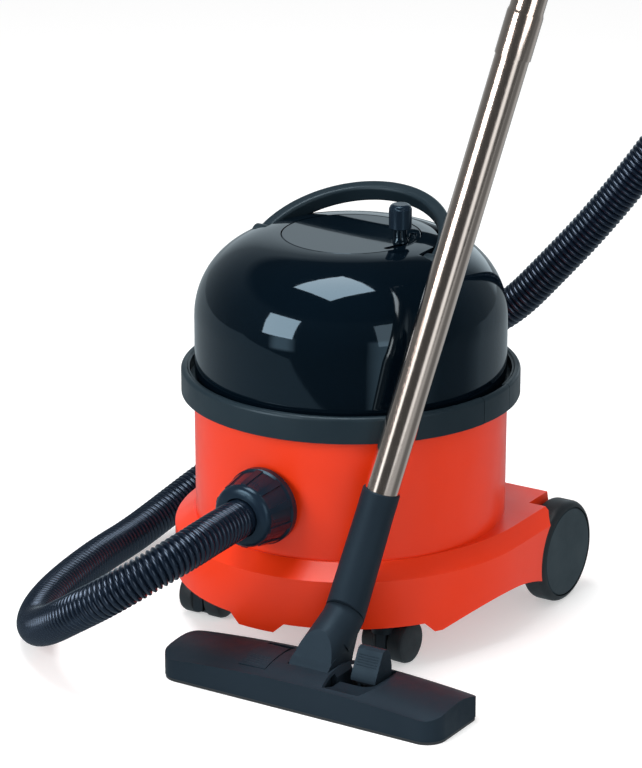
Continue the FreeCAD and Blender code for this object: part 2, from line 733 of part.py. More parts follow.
def rewind_disc():
    """The round cover that turns with the reel, with its finger groove and the crank pin's boss."""
    top = dome_top - 0.15
    shape = turned([
        (0, top - 9.5), (14.0, top - 9.5), (14.0, top - 4), (disc_radius - 4, top - 4), (disc_radius - 4, top - 9),
        (disc_radius, top - 9), (disc_radius, top - 0.9), (disc_radius - 0.9, top), (0, top)])
    boss = disc(7.5, top - 9.5, top - 2, crank_x, crank_y)
    groove = ring(disc_radius - 4.6, disc_radius - 11.0, top - 2.6, top + 1)
    wedge = spun(Part.makeCylinder(disc_radius, 10, Vec(0, 0, top - 6), UP, 55), -23)
    ends = [disc(3.2, top - 2.6, top + 1, (disc_radius - 7.8) * cos(radians(angle)),
                 (disc_radius - 7.8) * sin(radians(angle))) for angle in (-23, 32)]
    shape = shape.fuse(boss).cut(groove.common(wedge))
    for end in ends:
        shape = shape.cut(end)
    collar = turned([(0, top - 1), (8.5, top - 1), (8.5, top), (6.8, top + 3.5), (6.0, knob_low - 0.4),
                     (0, knob_low - 0.4)])
    shape = shape.fuse(moved(collar, crank_x, crank_y))
    shape = shape.cut(disc(crank_pin_radius, top - 12, knob_high, crank_x, crank_y))
    return shape.removeSplitter()


def crank_pin():
    """The steel pin that the crank knob turns on."""
    top = dome_top - 0.15
    return disc(crank_pin_radius, top - 9.5, knob_high - 3.5, crank_x, crank_y)


def crank_knob():
    """The freely turning knob of the rewind crank."""
    tall = knob_high - knob_low
    knob = turned([
        (crank_pin_radius + running_gap, 0), (knob_radius - 0.8, 0), (knob_radius, 1.0),
        (knob_radius, tall - 4.5), (knob_radius - 0.8, tall - 3.6), (knob_radius - 0.8, tall - 3.0),
        ((knob_radius - 2.4, tall - 0.9), (knob_radius - 5.0, tall - 0.3)), (0, tall), (0, tall - 3.2),
        (crank_pin_radius + running_gap, tall - 3.2)])
    return moved(knob, crank_x, crank_y, knob_low)


def cable_reel():
    """The empty cable reel and its shaft."""
    thick = 2.5
    top = dome_top - 0.15 - 9.5
    return turned([
        (0, reel_low - 12), (reel_shaft_radius, reel_low - 12), (reel_shaft_radius, reel_low),
        (reel_flange_radius, reel_low), (reel_flange_radius, reel_low + thick), (reel_hub_radius, reel_low + thick),
        (reel_hub_radius, reel_high - thick), (reel_flange_radius, reel_high - thick),
        (reel_flange_radius, reel_high), (reel_shaft_radius, reel_high), (reel_shaft_radius, top), (0, top)])


def motor_casing():
    """The fan and motor casing with the reel's lower bearing on top."""
    fan = motor_radius
    frame = 40.0
    cup = 13.0
    return turned([
        (22.0, motor_low), (fan, motor_low), (fan, motor_fan_top), (frame + 3, motor_fan_top),
        (frame + 3, motor_high), (cup, motor_high), (cup, reel_low - 4), (reel_shaft_radius + running_gap, reel_low - 4),
        (reel_shaft_radius + running_gap, reel_low - 12), (0, reel_low - 12), (0, motor_high - 3),
        (rotor_shaft_radius + running_gap, motor_high - 3), (rotor_shaft_radius + running_gap, motor_high - 6),
        (frame, motor_high - 6), (frame, motor_fan_top - 3), (rotor_shaft_radius + running_gap + 6, motor_fan_top - 3),
        (rotor_shaft_radius + running_gap, motor_fan_top - 3), (rotor_shaft_radius + running_gap, motor_fan_top - 7),
        (fan - 3, motor_fan_top - 7), (fan - 3, motor_low + 3), (22.0, motor_low + 3)])


def motor_rotor():
    """The motor's shaft with its fan and armature."""
    fan_low = motor_low + 6.0
    return turned([
        (0, fan_low - 1), (rotor_shaft_radius, fan_low - 1), (58.0, fan_low), (58.0, fan_low + 2),
        (rotor_shaft_radius + 8, fan_low + 4), (rotor_shaft_radius + 8, fan_low + 10),
        (rotor_shaft_radius, fan_low + 10), (rotor_shaft_radius, motor_fan_top + 3), (26.0, motor_fan_top + 3),
        (26.0, motor_high - 10), (rotor_shaft_radius, motor_high - 10), (rotor_shaft_radius, motor_high - 3.5),
        (0, motor_high - 3.5)])


def motor_seal():
    """The rubber ring that the motor stands on over the deck's suction hole."""
    return ring(66.0, 48.0, collar_seat, motor_low)


def wand_point(distance):
    """A point on the wand's axis at a distance up from the elbow's seam."""
    return wand_foot + wand_way * distance


def tool_elbow():
    """The elbow that stands on the tool's swivel and takes the lower tube."""
    ball = Part.makeSphere(elbow_seam_radius, wand_foot)
    cone = turned_along([
        (0, 0), (elbow_seam_radius, 0), (socket_radius, 100.0), (socket_radius, socket_length - 1),
        (socket_radius - 1, socket_length), (0, socket_length)], wand_foot, wand_way)
    shape = ball.fuse(cone)
    below = Part.makeCylinder(80, 80, wand_foot - neck_way * 80.0, neck_way)
    shape = shape.cut(below)
    bore = rod(wand_foot, wand_point(socket_length + 1), 14.4).fuse(Part.makeSphere(14.4, wand_foot))
    bore = bore.fuse(rod(wand_point(socket_length - socket_depth), wand_point(socket_length + 1), wand_radius))
    return shape.cut(bore).removeSplitter()


def lower_tube():
    """The lower steel tube."""
    start = socket_length - socket_depth
    return tube(wand_point(start), wand_point(start + lower_tube_length), wand_radius, wand_radius - tube_wall)


def upper_tube():
    """The upper steel tube; its widened foot goes over the lower one."""
    top = socket_length - socket_depth + lower_tube_length
    foot = top - tube_overlap
    head = foot + upper_tube_length
    wall = tube_wall
    bore = wand_radius - wall
    return turned_along([
        (wand_radius, 0), (wand_radius + wall, 0), (wand_radius + wall, tube_overlap),
        (wand_radius, tube_overlap + 4), (wand_radius, head - foot), (bore, head - foot), (bore, tube_overlap + 0.5),
        (wand_radius, tube_overlap)], wand_point(foot), wand_way)


def bend_frame():
    """Where the wand's top bends over: start, the way across and the way out."""
    start = wand_point(socket_length - socket_depth + lower_tube_length - tube_overlap + upper_tube_length + 18.0)
    across = Vec(0.307, 0.952, 0)
    across = (across - wand_way * across.dot(wand_way)).normalize()
    turn = radians(bend_angle)
    out = wand_way * cos(turn) + across * sin(turn)
    end = start + wand_way * (bend_radius * sin(turn)) + across * (bend_radius * (1 - cos(turn)))
    return start, across, out, end


def bent_tube():
    """The bent steel end: widened foot, the bend and a short straight tail."""
    start, across, out, end = bend_frame()
    foot = start - wand_way * (tube_overlap + 18.0)
    half = radians(bend_angle) / 2
    middle = start + wand_way * (bend_radius * sin(half)) + across * (bend_radius * (1 - cos(half)))
    tail = end + out * bend_tail
    path = Part.Wire([Part.LineSegment(start - wand_way * 14.0, start).toShape(),
                      Part.Arc(start, middle, end).toShape(), Part.LineSegment(end, tail).toShape()])
    solids = []
    for radius in (wand_radius, wand_radius - tube_wall):
        circle = Part.Wire([Part.Circle(start - wand_way * 14.0, wand_way, radius).toShape()])
        solids.append(path.makePipeShell([circle], True, False))
    bend = solids[0].cut(solids[1])
    wall = tube_wall
    sleeve = turned_along([
        (wand_radius, 0), (wand_radius + wall, 0), (wand_radius + wall, tube_overlap),
        (wand_radius, tube_overlap + 4), (wand_radius - wall, tube_overlap + 4),
        (wand_radius - wall, tube_overlap + 0.5), (wand_radius, tube_overlap)], foot, wand_way)
    shape = bend.fuse(sleeve).removeSplitter()
    slot_base = tail - out * 34.0
    side = wand_way.cross(across)
    lift = side.cross(out).normalize()
    bleed = rod(slot_base, slot_base - lift * 30.0, 5.0)
    return shape.cut(bleed)


def air_slider():
    """The sliding sleeve that opens the suction bleed hole."""
    out, end = bend_frame()[2:]
    base = end + out * (bend_tail - 34.0 - 11.0)
    return turned_along([
        (wand_radius + 0.08, 0), (wand_radius + 2.0, 0), (wand_radius + 2.6, 1.0), (wand_radius + 2.6, 20.0),
        (wand_radius + 2.0, 21.0), (wand_radius + 0.08, 21.0)], base, out)


def hose_end_cuff():
    """The plastic cuff between the bent tube and the hose."""
    out, end = bend_frame()[2:]
    base = end + out * (bend_tail - 8.0)
    return turned_along([
        (wand_radius, 0), (wand_radius + 3.2, 0), (wand_radius + 3.8, 1.0), (wand_radius + 3.8, 8.0),
        (hose_radius + 3.2, 14.0), (hose_radius + 3.2, 44.0), (hose_radius + 2.0, 46.0), (hose_radius, 46.0),
        (hose_radius, 20.0), (hose_radius - 4, 20.0), (hose_radius - 4, 8.0), (wand_radius, 8.0)], base, out)


def hose_start():
    """Where the hose leaves the wand's end and which way it points."""
    out, end = bend_frame()[2:]
    return end + out * (bend_tail - 8.0 + 20.0), out


HOSE_ROUTE = [
    (0, -186, 155), (0, -232, 154.5), (-4, -277, 149), (-22, -313, 135), (-58, -333, 109), (-103, -328, 80),
    (-151, -300, 48), (-195, -262, 24), (-222, -218, 20), (-238, -170, 20), (-249, -117, 20), (-257, -62, 20),
    (-258, -6, 22), (-254, 48, 33), (-244, 104, 50), (-222, 158, 72), (-182, 206, 98), (-126, 238, 134),
    (-62, 252, 180), (-6, 256, 219), (38, 258, 248), (76, 266, 292), (112, 278, 336), (152, 292, 392),
    (196, 304, 460), (236, 324, 536), (270, 350, 614), (300, 376, 696), (326, 398, 782), (348, 412, 868),
    (366, 414, 954), (376, 402, 1010), (381, 374, 1066), (379, 330, 1103), (367, 268, 1112),
]


def hose_points():
    """The hose's route: the chosen points, then straight into the wand's end cuff."""
    last, out = hose_start()
    lead = last + out * 48.0
    return [Vec(*point) for point in HOSE_ROUTE] + [lead, last]


def route_spans(points):
    """Straight runs and tangent arcs along a route, as (kind, data, length), and each corner's radius."""
    spans = []
    radii = []
    here = points[0]
    for index in range(1, len(points) - 1):
        before = points[index] - points[index - 1]
        after = points[index + 1] - points[index]
        way_in = Vec(before).normalize()
        way_out = Vec(after).normalize()
        turn = acos(max(-1.0, min(1.0, way_in.dot(way_out))))
        reach = 0.45 * min(before.Length, after.Length)
        radius = reach / tan(turn / 2)
        radii.append(radius)
        enter = points[index] - way_in * reach
        leave = points[index] + way_out * reach
        spans.append(("run", here, way_in, (enter - here).Length))
        spans.append(("arc", enter, way_in, radius * turn, radius, way_out))
        here = leave
    last_way = Vec(points[-1] - here).normalize()
    spans.append(("run", here, last_way, (points[-1] - here).Length))
    return spans, radii


def route_at(spans, distance):
    """The point and direction at a distance along the spans."""
    for span in spans:
        if distance <= span[3] + 1e-6 or span is spans[-1]:
            break
        distance -= span[3]
    if span[0] == "run":
        return span[1] + span[2] * distance, span[2]
    radius = span[4]
    inward = (span[5] - span[2] * span[5].dot(span[2])).normalize()
    angle = distance / radius
    point = span[1] + span[2] * (radius * sin(angle)) + inward * (radius * (1 - cos(angle)))
    return point, span[2] * cos(angle) + inward * sin(angle)


def hose():
    """The ribbed suction hose as one closed skin: ribs outside, a smooth bore inside."""
    spans, radii = route_spans(hose_points())
    length = sum(span[3] for span in spans)
    plain = 2 * hose_radius
    pitch = (length - 2 * plain) / hose_ribs
    stations = [(0.0, hose_radius - 0.6), (plain * 0.9, hose_radius - 0.6)]
    for index in range(hose_ribs):
        base = plain + index * pitch
        stations.append((base + pitch * 0.10, hose_valley))
        stations.append((base + pitch * 0.36, hose_radius))
        stations.append((base + pitch * 0.64, hose_radius))
        stations.append((base + pitch * 0.90, hose_valley))
    stations += [(length - plain * 0.9, hose_radius - 0.6), (length, hose_radius - 0.6)]
    steady = RIGHT
    outer = []
    inner = []
    for number, (distance, radius) in enumerate(stations):
        point, way = route_at(spans, distance)
        steady = (steady - way * steady.dot(way)).normalize()
        frame = FreeCAD.Placement(point, FreeCAD.Rotation(steady, way.cross(steady), way, "ZXY"))
        outer.append(hoop_wire(frame, radius))
        if number % 4 == 0 or number in (1, len(stations) - 1, len(stations) - 2):
            inner.append(hoop_wire(frame, hose_bore))
    skin = Part.makeLoft(outer, True, True)
    bore = Part.makeLoft(inner, True, True)
    print("hose length %.0f, tightest radius %.0f, radii %s" % (
        length, min(radii), " ".join("%.0f" % radius for radius in radii)))
    return skin.cut(bore)


def hoop_wire(frame, radius):
    """A circle in a frame, as a wire."""
    edge = Part.Edge(Part.Circle(Vec(0, 0, 0), UP, radius))
    edge.Placement = frame
    return Part.Wire([edge])


def side_view(points, x, width):
    """A prism from a side view of (y, z) points, extruded along +X."""
    wire = Part.makePolygon([Vec(x, y, z) for y, z in points] + [Vec(x, points[0][0], points[0][1])])
    return Part.Face(wire).extrude(Vec(width, 0, 0))


def neck_arch(top, way, x, half, depth):
    """The neck's section as a wire across its way: a round top over straight sides."""
    lift = way.cross(RIGHT).normalize()
    if lift.z < 0:
        lift = lift * -1.0
    crest = Vec(x, top.y, top.z)
    centre = crest - lift * half
    foot = crest - lift * depth
    left = Vec(-half, 0, 0)
    right = Vec(half, 0, 0)
    return Part.Wire([
        Part.Arc(centre + left, crest, centre + right).toShape(),
        Part.LineSegment(centre + right, foot + right).toShape(),
        Part.LineSegment(foot + right, foot + left).toShape(),
        Part.LineSegment(foot + left, centre + left).toShape()])


def swivel_neck():
    """The neck between the elbow and the floor tool: round at the swivel, flat in front, closed below."""
    down = neck_way * -1.0
    top = wand_foot + down * 0.4
    lift = Vec(0, -neck_way.z, neck_way.y)
    rim = top + lift * elbow_seam_radius
    apex = Vec(neck_x, hinge_y - 0.5, hinge_z + 46.1)
    way = Vec(0, rim.y - apex.y, rim.z - apex.z).normalize()
    round_end = rod(top + down * 34.0, top, elbow_seam_radius)
    front = apex - way * 40.0
    hood = Part.makeLoft([neck_arch(front, way, neck_x, neck_half - 0.3, 76.0),
                          neck_arch(rim - lift * 0.6, way, wand_foot.x, elbow_seam_radius - 1.0, 46.0)], True, True)
    hood = hood.common(side_view([
        (hinge_y - 13.5, hinge_z + 16.8), (apex.y, apex.z + 4), (rim.y, rim.z + 4), (rim.y, rim.z),
        (top.y, top.z), (hinge_y + 27, hinge_z + 17), (hinge_y + 21, hinge_z), (hinge_y - 10, hinge_z)],
        neck_x - 40, 80))
    panel_foot = Vec(neck_x, hinge_y - 13.5, hinge_z + 16.8)
    hood = hood.cut(side_view([(panel_foot.y, panel_foot.z), (apex.y, apex.z), (apex.y, apex.z + 20),
                               (panel_foot.y - 40, apex.z + 20), (panel_foot.y - 40, panel_foot.z)],
                              neck_x - 40, 80))
    reach = sqrt(neck_barrel ** 2 - 81.0)
    end = outline([(-reach, -9.0), ((0, neck_barrel), (reach, -9.0))])
    end.rotate(Vec(0, 0, 0), UP, 90)
    end.translate(Vec(neck_x - neck_half - 0.3, hinge_y, hinge_z))
    barrel = Part.Face(end).extrude(Vec(2 * neck_half + 0.6, 0, 0))
    shape = round_end.fuse([hood, barrel])
    shape = shape.cut(Part.makeCylinder(60, 60, top, neck_way))
    bore = rod(top + down * 36.0, top - down, neck_bore)
    throat = block(neck_x - 12, neck_x + 12, hinge_y + 5, hinge_y + 19, hinge_z - 12, hinge_z + 26)
    pin = rod(Vec(neck_x - 40, hinge_y, hinge_z), Vec(neck_x + 40, hinge_y, hinge_z), 3.0)
    return shape.cut(bore).cut(throat).cut(pin).removeSplitter()


def neck_axle():
    """The steel pin that hinges the neck in the floor tool, fixed in the neck."""
    return rod(Vec(neck_x - 26.5, hinge_y, hinge_z), Vec(neck_x + 26.5, hinge_y, hinge_z), 3.0)


def tool_plan(inset, z):
    """The floor tool's plan with its rounded corners, as a face."""
    left = tool_left + inset
    right = tool_right - inset
    front = tool_front + inset
    back = tool_back - inset
    big = 20.0 - inset
    small = 10.0 - inset
    slip = 1 - cos(pi / 4)

    def arc(start, middle, end):
        return Part.Arc(Vec(*start, z), Vec(*middle, z), Vec(*end, z)).toShape()

    def line(start, end):
        return Part.LineSegment(Vec(*start, z), Vec(*end, z)).toShape()

    return Part.Face(Part.Wire([
        line((left + big, front), (right - big, front)),
        arc((right - big, front), (right - big * slip, front + big * slip), (right, front + big)),
        line((right, front + big), (right, back - small)),
        arc((right, back - small), (right - small * slip, back - small * slip), (right - small, back)),
        line((right - small, back), (left + big, back)),
        arc((left + big, back), (left + big * slip, back - big * slip), (left, back - big)),
        line((left, back - big), (left, front + big)),
        arc((left, front + big), (left + big * slip, front + big * slip), (left + big, front)),
    ]))


def tool_crown_bar(drop):
    """The arched bar whose section is the tool's side view, lowered by a drop."""
    falls = [(-245.0, 5.0), (-238.0, 2.9), (-230.0, 1.3), (-221.0, 0.4), (-212.0, 0.0), (-205.0, 0.2),
             (-198.0, 1.1), (-192.0, 2.3), (-185.0, 4.2), (-178.0, 6.7)]
    steps = [(tool_front - 1, -8.0), (tool_front - 1, tool_front_height - 0.6 - drop),
             (tool_front + 2.4, tool_front_height - drop)]
    steps += [(y, tool_crown - fall - drop) for y, fall in falls]
    steps += [(tool_back + 1, tool_back_height - drop), (tool_back + 1, -8.0)]
    flat = outline(steps)
    flat.rotate(Vec(0, 0, 0), UP, 90)
    flat.translate(Vec(tool_arch_x, 0, 0))
    base = Vec(tool_arch_x, 0, tool_crown - tool_arch_radius)
    half = 6.7
    return spun(Part.Face(flat), -half, base, BACK).revolve(base, BACK, 2 * half)


def tool_valley(inset):
    """The cutter for the low part of the deck round the right pedal, lowered by an inset."""
    left = valley_left + inset
    low = valley_floor - inset
    across = outline([
        (left, low), (left + 22, low), ((left + 37, low + 3.4), (left + 50, low + 11.0)), (left + 50, 70),
        (left - 24, 70), (left - 6.5, low + 10.6)])
    across = Part.Face(across).extrude(Vec(0, 200, 0))
    across.translate(Vec(0, tool_front - 40, 0))
    along = side_view([(tool_front + 1, low + 4.2), (tool_front + 17, low), (tool_back + 20, low),
                       (tool_back + 20, 80), (tool_front + 1, 80)], left - 30, 120)
    return across.common(along)


def tool_housing():
    """The floor tool's upper shell with the neck's pocket, the deck's low part and the pedals' wells."""
    outer = tool_plan(0.0, sole_thickness).extrude(Vec(0, 0, 60)).common(tool_crown_bar(0.0)).cut(tool_valley(0.0))
    inner = tool_plan(tool_wall, sole_thickness - 1).extrude(Vec(0, 0, 60)).common(tool_crown_bar(tool_wall))
    inner = inner.cut(tool_valley(tool_wall))
    shell = outer.cut(inner)
    pocket_half = neck_half + 1.2
    for side in (-1, 1):
        near = neck_x + side * pocket_half
        far = neck_x + side * (pocket_half + 6.0)
        cheek = block(min(near, far), max(near, far), hinge_y - 14, hinge_y + 14, 9.0, tool_crown - 1)
        shell = shell.fuse(cheek.common(outer))
    well = block(valley_left + 0.5, pedal_right_x + 15.5, pedal_right_y - 28.5, tool_back - 7, 11.0, 60)
    shell = shell.cut(well)
    for side in (-1, 1):
        near = pedal_right_x + side * 14.1
        far = pedal_right_x + side * 17.1
        cheek = block(min(near, far), max(near, far), pedal_right_y - 6, tool_back - 1, 14.2, 24.0)
        shell = shell.fuse(cheek.common(outer))
        near = pedal_left_x + side * 15.0
        far = pedal_left_x + side * 18.0
        cheek = block(min(near, far), max(near, far), pedal_left_y - 6, pedal_left_y + 6, 12.0, tool_crown - 1)
        shell = shell.fuse(cheek.common(outer))
    pocket = rod(Vec(neck_x - pocket_half, hinge_y, hinge_z), Vec(neck_x + pocket_half, hinge_y, hinge_z),
                 neck_barrel + 2.0)
    shell = shell.cut(pocket).cut(block(neck_x - pocket_half, neck_x + pocket_half, hinge_y, tool_back + 2,
                                        sole_thickness - 1, 60))
    shell = shell.cut(rod(Vec(neck_x - 27, hinge_y, hinge_z), Vec(neck_x + 27, hinge_y, hinge_z),
                          3.0 + running_gap))
    shell = shell.cut(block(pedal_left_x - 15.0, pedal_left_x + 15.0, -244.6, -189.5, 11.0, 60))
    for x, y in ((pedal_left_x, pedal_left_y), (pedal_right_x, pedal_right_y)):
        shell = shell.cut(rod(Vec(x - 18.2, y, pedal_hinge_z), Vec(x + 18.2, y, pedal_hinge_z),
                              pedal_trunnion + running_gap))
    return shell.removeSplitter()


def sole_plate():
    """The steel sole with its suction slot and brush slots."""
    plate = tool_plan(0.6, 0.0).extrude(Vec(0, 0, sole_thickness))
    slot = block(tool_left + 34, tool_right - 34, -222, -208, -1, sole_thickness + 1)
    mouth = block(neck_x - 14, neck_x + 14, -222, -190, -1, sole_thickness + 1)
    plate = plate.cut(slot).cut(mouth)
    for y in (-243.5, -183.5):
        plate = plate.cut(block(tool_left + 22, tool_right - 22, y - 3.0, y + 3.0, -1, sole_thickness + 1))
    return plate


def brush_strips():
    """The two brush strips on their carriers, drawn up into the tool."""
    strips = []
    for y in (-243.5, -183.5):
        bristles = block(tool_left + 23, tool_right - 23, y - 2.4, y + 2.4, 0.8, 9.0)
        holder = block(tool_left + 23, tool_right - 23, y - 4.0, y + 4.0, 9.0, 13.0)
        strips.append(bristles.fuse(holder).removeSplitter())
    return group(strips)


def pedal_left():
    """The left pedal, flush while the brushes are up."""
    x = pedal_left_x
    plate = side_view([(-200.0, 17.0), (-199.4, 35.6), (-203.0, 37.2), (-222.0, 36.4), (-236.0, 34.0),
                       (-243.6, 31.6), (-243.6, 27.0), (-212.0, 27.0), (-206.0, 17.0)], x - 14.2, 28.4)
    pin = rod(Vec(x - 17.6, pedal_left_y, pedal_hinge_z), Vec(x + 17.6, pedal_left_y, pedal_hinge_z), pedal_trunnion)
    return plate.fuse(pin).removeSplitter()


def pedal_right():
    """The right pedal, raised while the brushes are up."""
    x = pedal_right_x
    plate = side_view([(-190.0, 17.0), (-189.4, 40.0), (-192.6, 53.0), (-196.4, 57.4), (-201.0, 58.6),
                       (-205.2, 57.0), (-208.6, 51.0), (-213.6, 42.0), (-218.4, 33.0), (-218.6, 29.6),
                       (-213.0, 27.0), (-198.0, 17.0)], x - 13.4, 26.8)
    pin = rod(Vec(x - 16.8, pedal_right_y, pedal_hinge_z), Vec(x + 16.8, pedal_right_y, pedal_hinge_z),
              pedal_trunnion)
    return plate.fuse(pin).removeSplitter()


def build_all():
    """Builds every node."""
    keep("tub_shell", tub_shell())
    keep("inlet_neck", inlet_neck())
    keep("hose_cuff", hose_cuff())
    keep("filter_frame", filter_frame())
    keep("filter_cloth", filter_cloth())
    keep("rear_axle", rear_axle())
    keep("rear_wheel_right", rear_wheel())
    keep("rear_wheel_left", mirrored(rear_wheel()))
    keep("hub_cap_right", hub_cap())
    keep("hub_cap_left", mirrored(hub_cap()))
    for side in ("left", "right"):
        keep("castor_frame_" + side, placed_castor(castor_frame(), side))
        keep("castor_axle_" + side, placed_castor(castor_axle(), side))
        pair = group([castor_wheel(), mirrored(castor_wheel())])
        keep("castor_wheels_" + side, placed_castor(pair, side))
    keep("head_collar", head_collar())
    keep("head_seal", head_seal())
    keep("clip_right", head_clip())
    keep("clip_left", mirrored(head_clip()))
    keep("clip_pins", group([clip_pin(), mirrored(clip_pin())]))
    keep("dome_cover", dome_cover())
    keep("carry_handle", carry_handle())
    keep("handle_pins", handle_pins())
    keep("power_switch", power_switch())
    keep("cable_gland", cable_gland())
    keep("rewind_disc", rewind_disc())
    keep("crank_pin", crank_pin())
    keep("crank_knob", crank_knob())
    keep("cable_reel", cable_reel())
    keep("motor_casing", motor_casing())
    keep("motor_rotor", motor_rotor())
    keep("motor_seal", motor_seal())
    keep("tool_elbow", tool_elbow())
    keep("lower_tube", lower_tube())
    keep("upper_tube", upper_tube())
    keep("bent_tube", bent_tube())
    keep("air_slider", air_slider())
    keep("hose_end_cuff", hose_end_cuff())
    keep("hose", hose())
    keep("swivel_neck", swivel_neck())
    keep("neck_axle", neck_axle())
    keep("tool_housing", tool_housing())
    keep("sole_plate", sole_plate())
    keep("brush_strips", brush_strips())
    keep("pedal_left", pedal_left())
    keep("pedal_right", pedal_right())


build_all()
os.makedirs("parts", exist_ok=True)
for name, shape in PARTS.items():
    solids = shape.Solids
    print("%-22s %3d solids %5d faces valid %s volume %.0f" % (
        name, len(solids), len(shape.Faces), shape.isValid(), shape.Volume))
    shape.exportStep("parts/" + name + ".step")
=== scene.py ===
"""Looks of a tub vacuum cleaner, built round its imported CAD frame.

Metres, +Z up, in the frame of the CAD model: the origin is on the tub's axis at floor
level, the hose inlet faces -Y and +X is to the right of someone who faces +Y.
"""

import logging
import math
from dataclasses import dataclass
from enum import Enum
from typing import Any, NamedTuple, Sequence

import bmesh
import bpy
import numpy as np
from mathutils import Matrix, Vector

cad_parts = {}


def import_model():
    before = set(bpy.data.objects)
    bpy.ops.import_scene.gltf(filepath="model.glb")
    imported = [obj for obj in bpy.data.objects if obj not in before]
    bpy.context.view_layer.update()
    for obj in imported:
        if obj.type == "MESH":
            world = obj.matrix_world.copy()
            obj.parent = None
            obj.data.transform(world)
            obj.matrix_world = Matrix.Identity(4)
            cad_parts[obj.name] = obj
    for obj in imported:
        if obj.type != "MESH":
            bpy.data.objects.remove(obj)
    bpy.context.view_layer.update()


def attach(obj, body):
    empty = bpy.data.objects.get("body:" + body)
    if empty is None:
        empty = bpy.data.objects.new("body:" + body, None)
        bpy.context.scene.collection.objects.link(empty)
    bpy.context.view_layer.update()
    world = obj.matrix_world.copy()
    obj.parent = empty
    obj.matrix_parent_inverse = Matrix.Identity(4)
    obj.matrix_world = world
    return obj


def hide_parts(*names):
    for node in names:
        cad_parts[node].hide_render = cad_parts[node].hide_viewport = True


LOG = logging.getLogger("tub_cleaner")
MM = 0.001
WHITE = (1.0, 1.0, 1.0, 1.0)

NOISE_LOW = 0.3
NOISE_HIGH = 0.7
MERGE_REACH = 0.001 * MM
TWIN_MERGE_REACH = 0.002 * MM
TWIN_FLAT = 0.4
EASE_SEGMENTS = 2

Socket = bpy.types.NodeSocket
Point = tuple[float, float, float]


class Slot(Enum):
    """The record's material slots."""

    RED = "red_plastic"
    DOME = "dome_gloss_plastic"
    SLATE = "slate_plastic"
    GLOSS = "black_gloss_plastic"
    MATTE = "black_matte_plastic"
    TOOL = "grey_black_plastic"
    HOSE = "hose_plastic"
    TYRE = "wheel_rubber"
    HUB = "wheel_disc_plastic"
    SEAL = "seal_rubber"
    WAND = "wand_steel"
    ROD = "steel_rod"
    SOLE = "sole_steel"
    CAST = "cast_metal"
    FELT = "filter_cloth"
    BRISTLE = "brush_bristle"


# ---- finishes


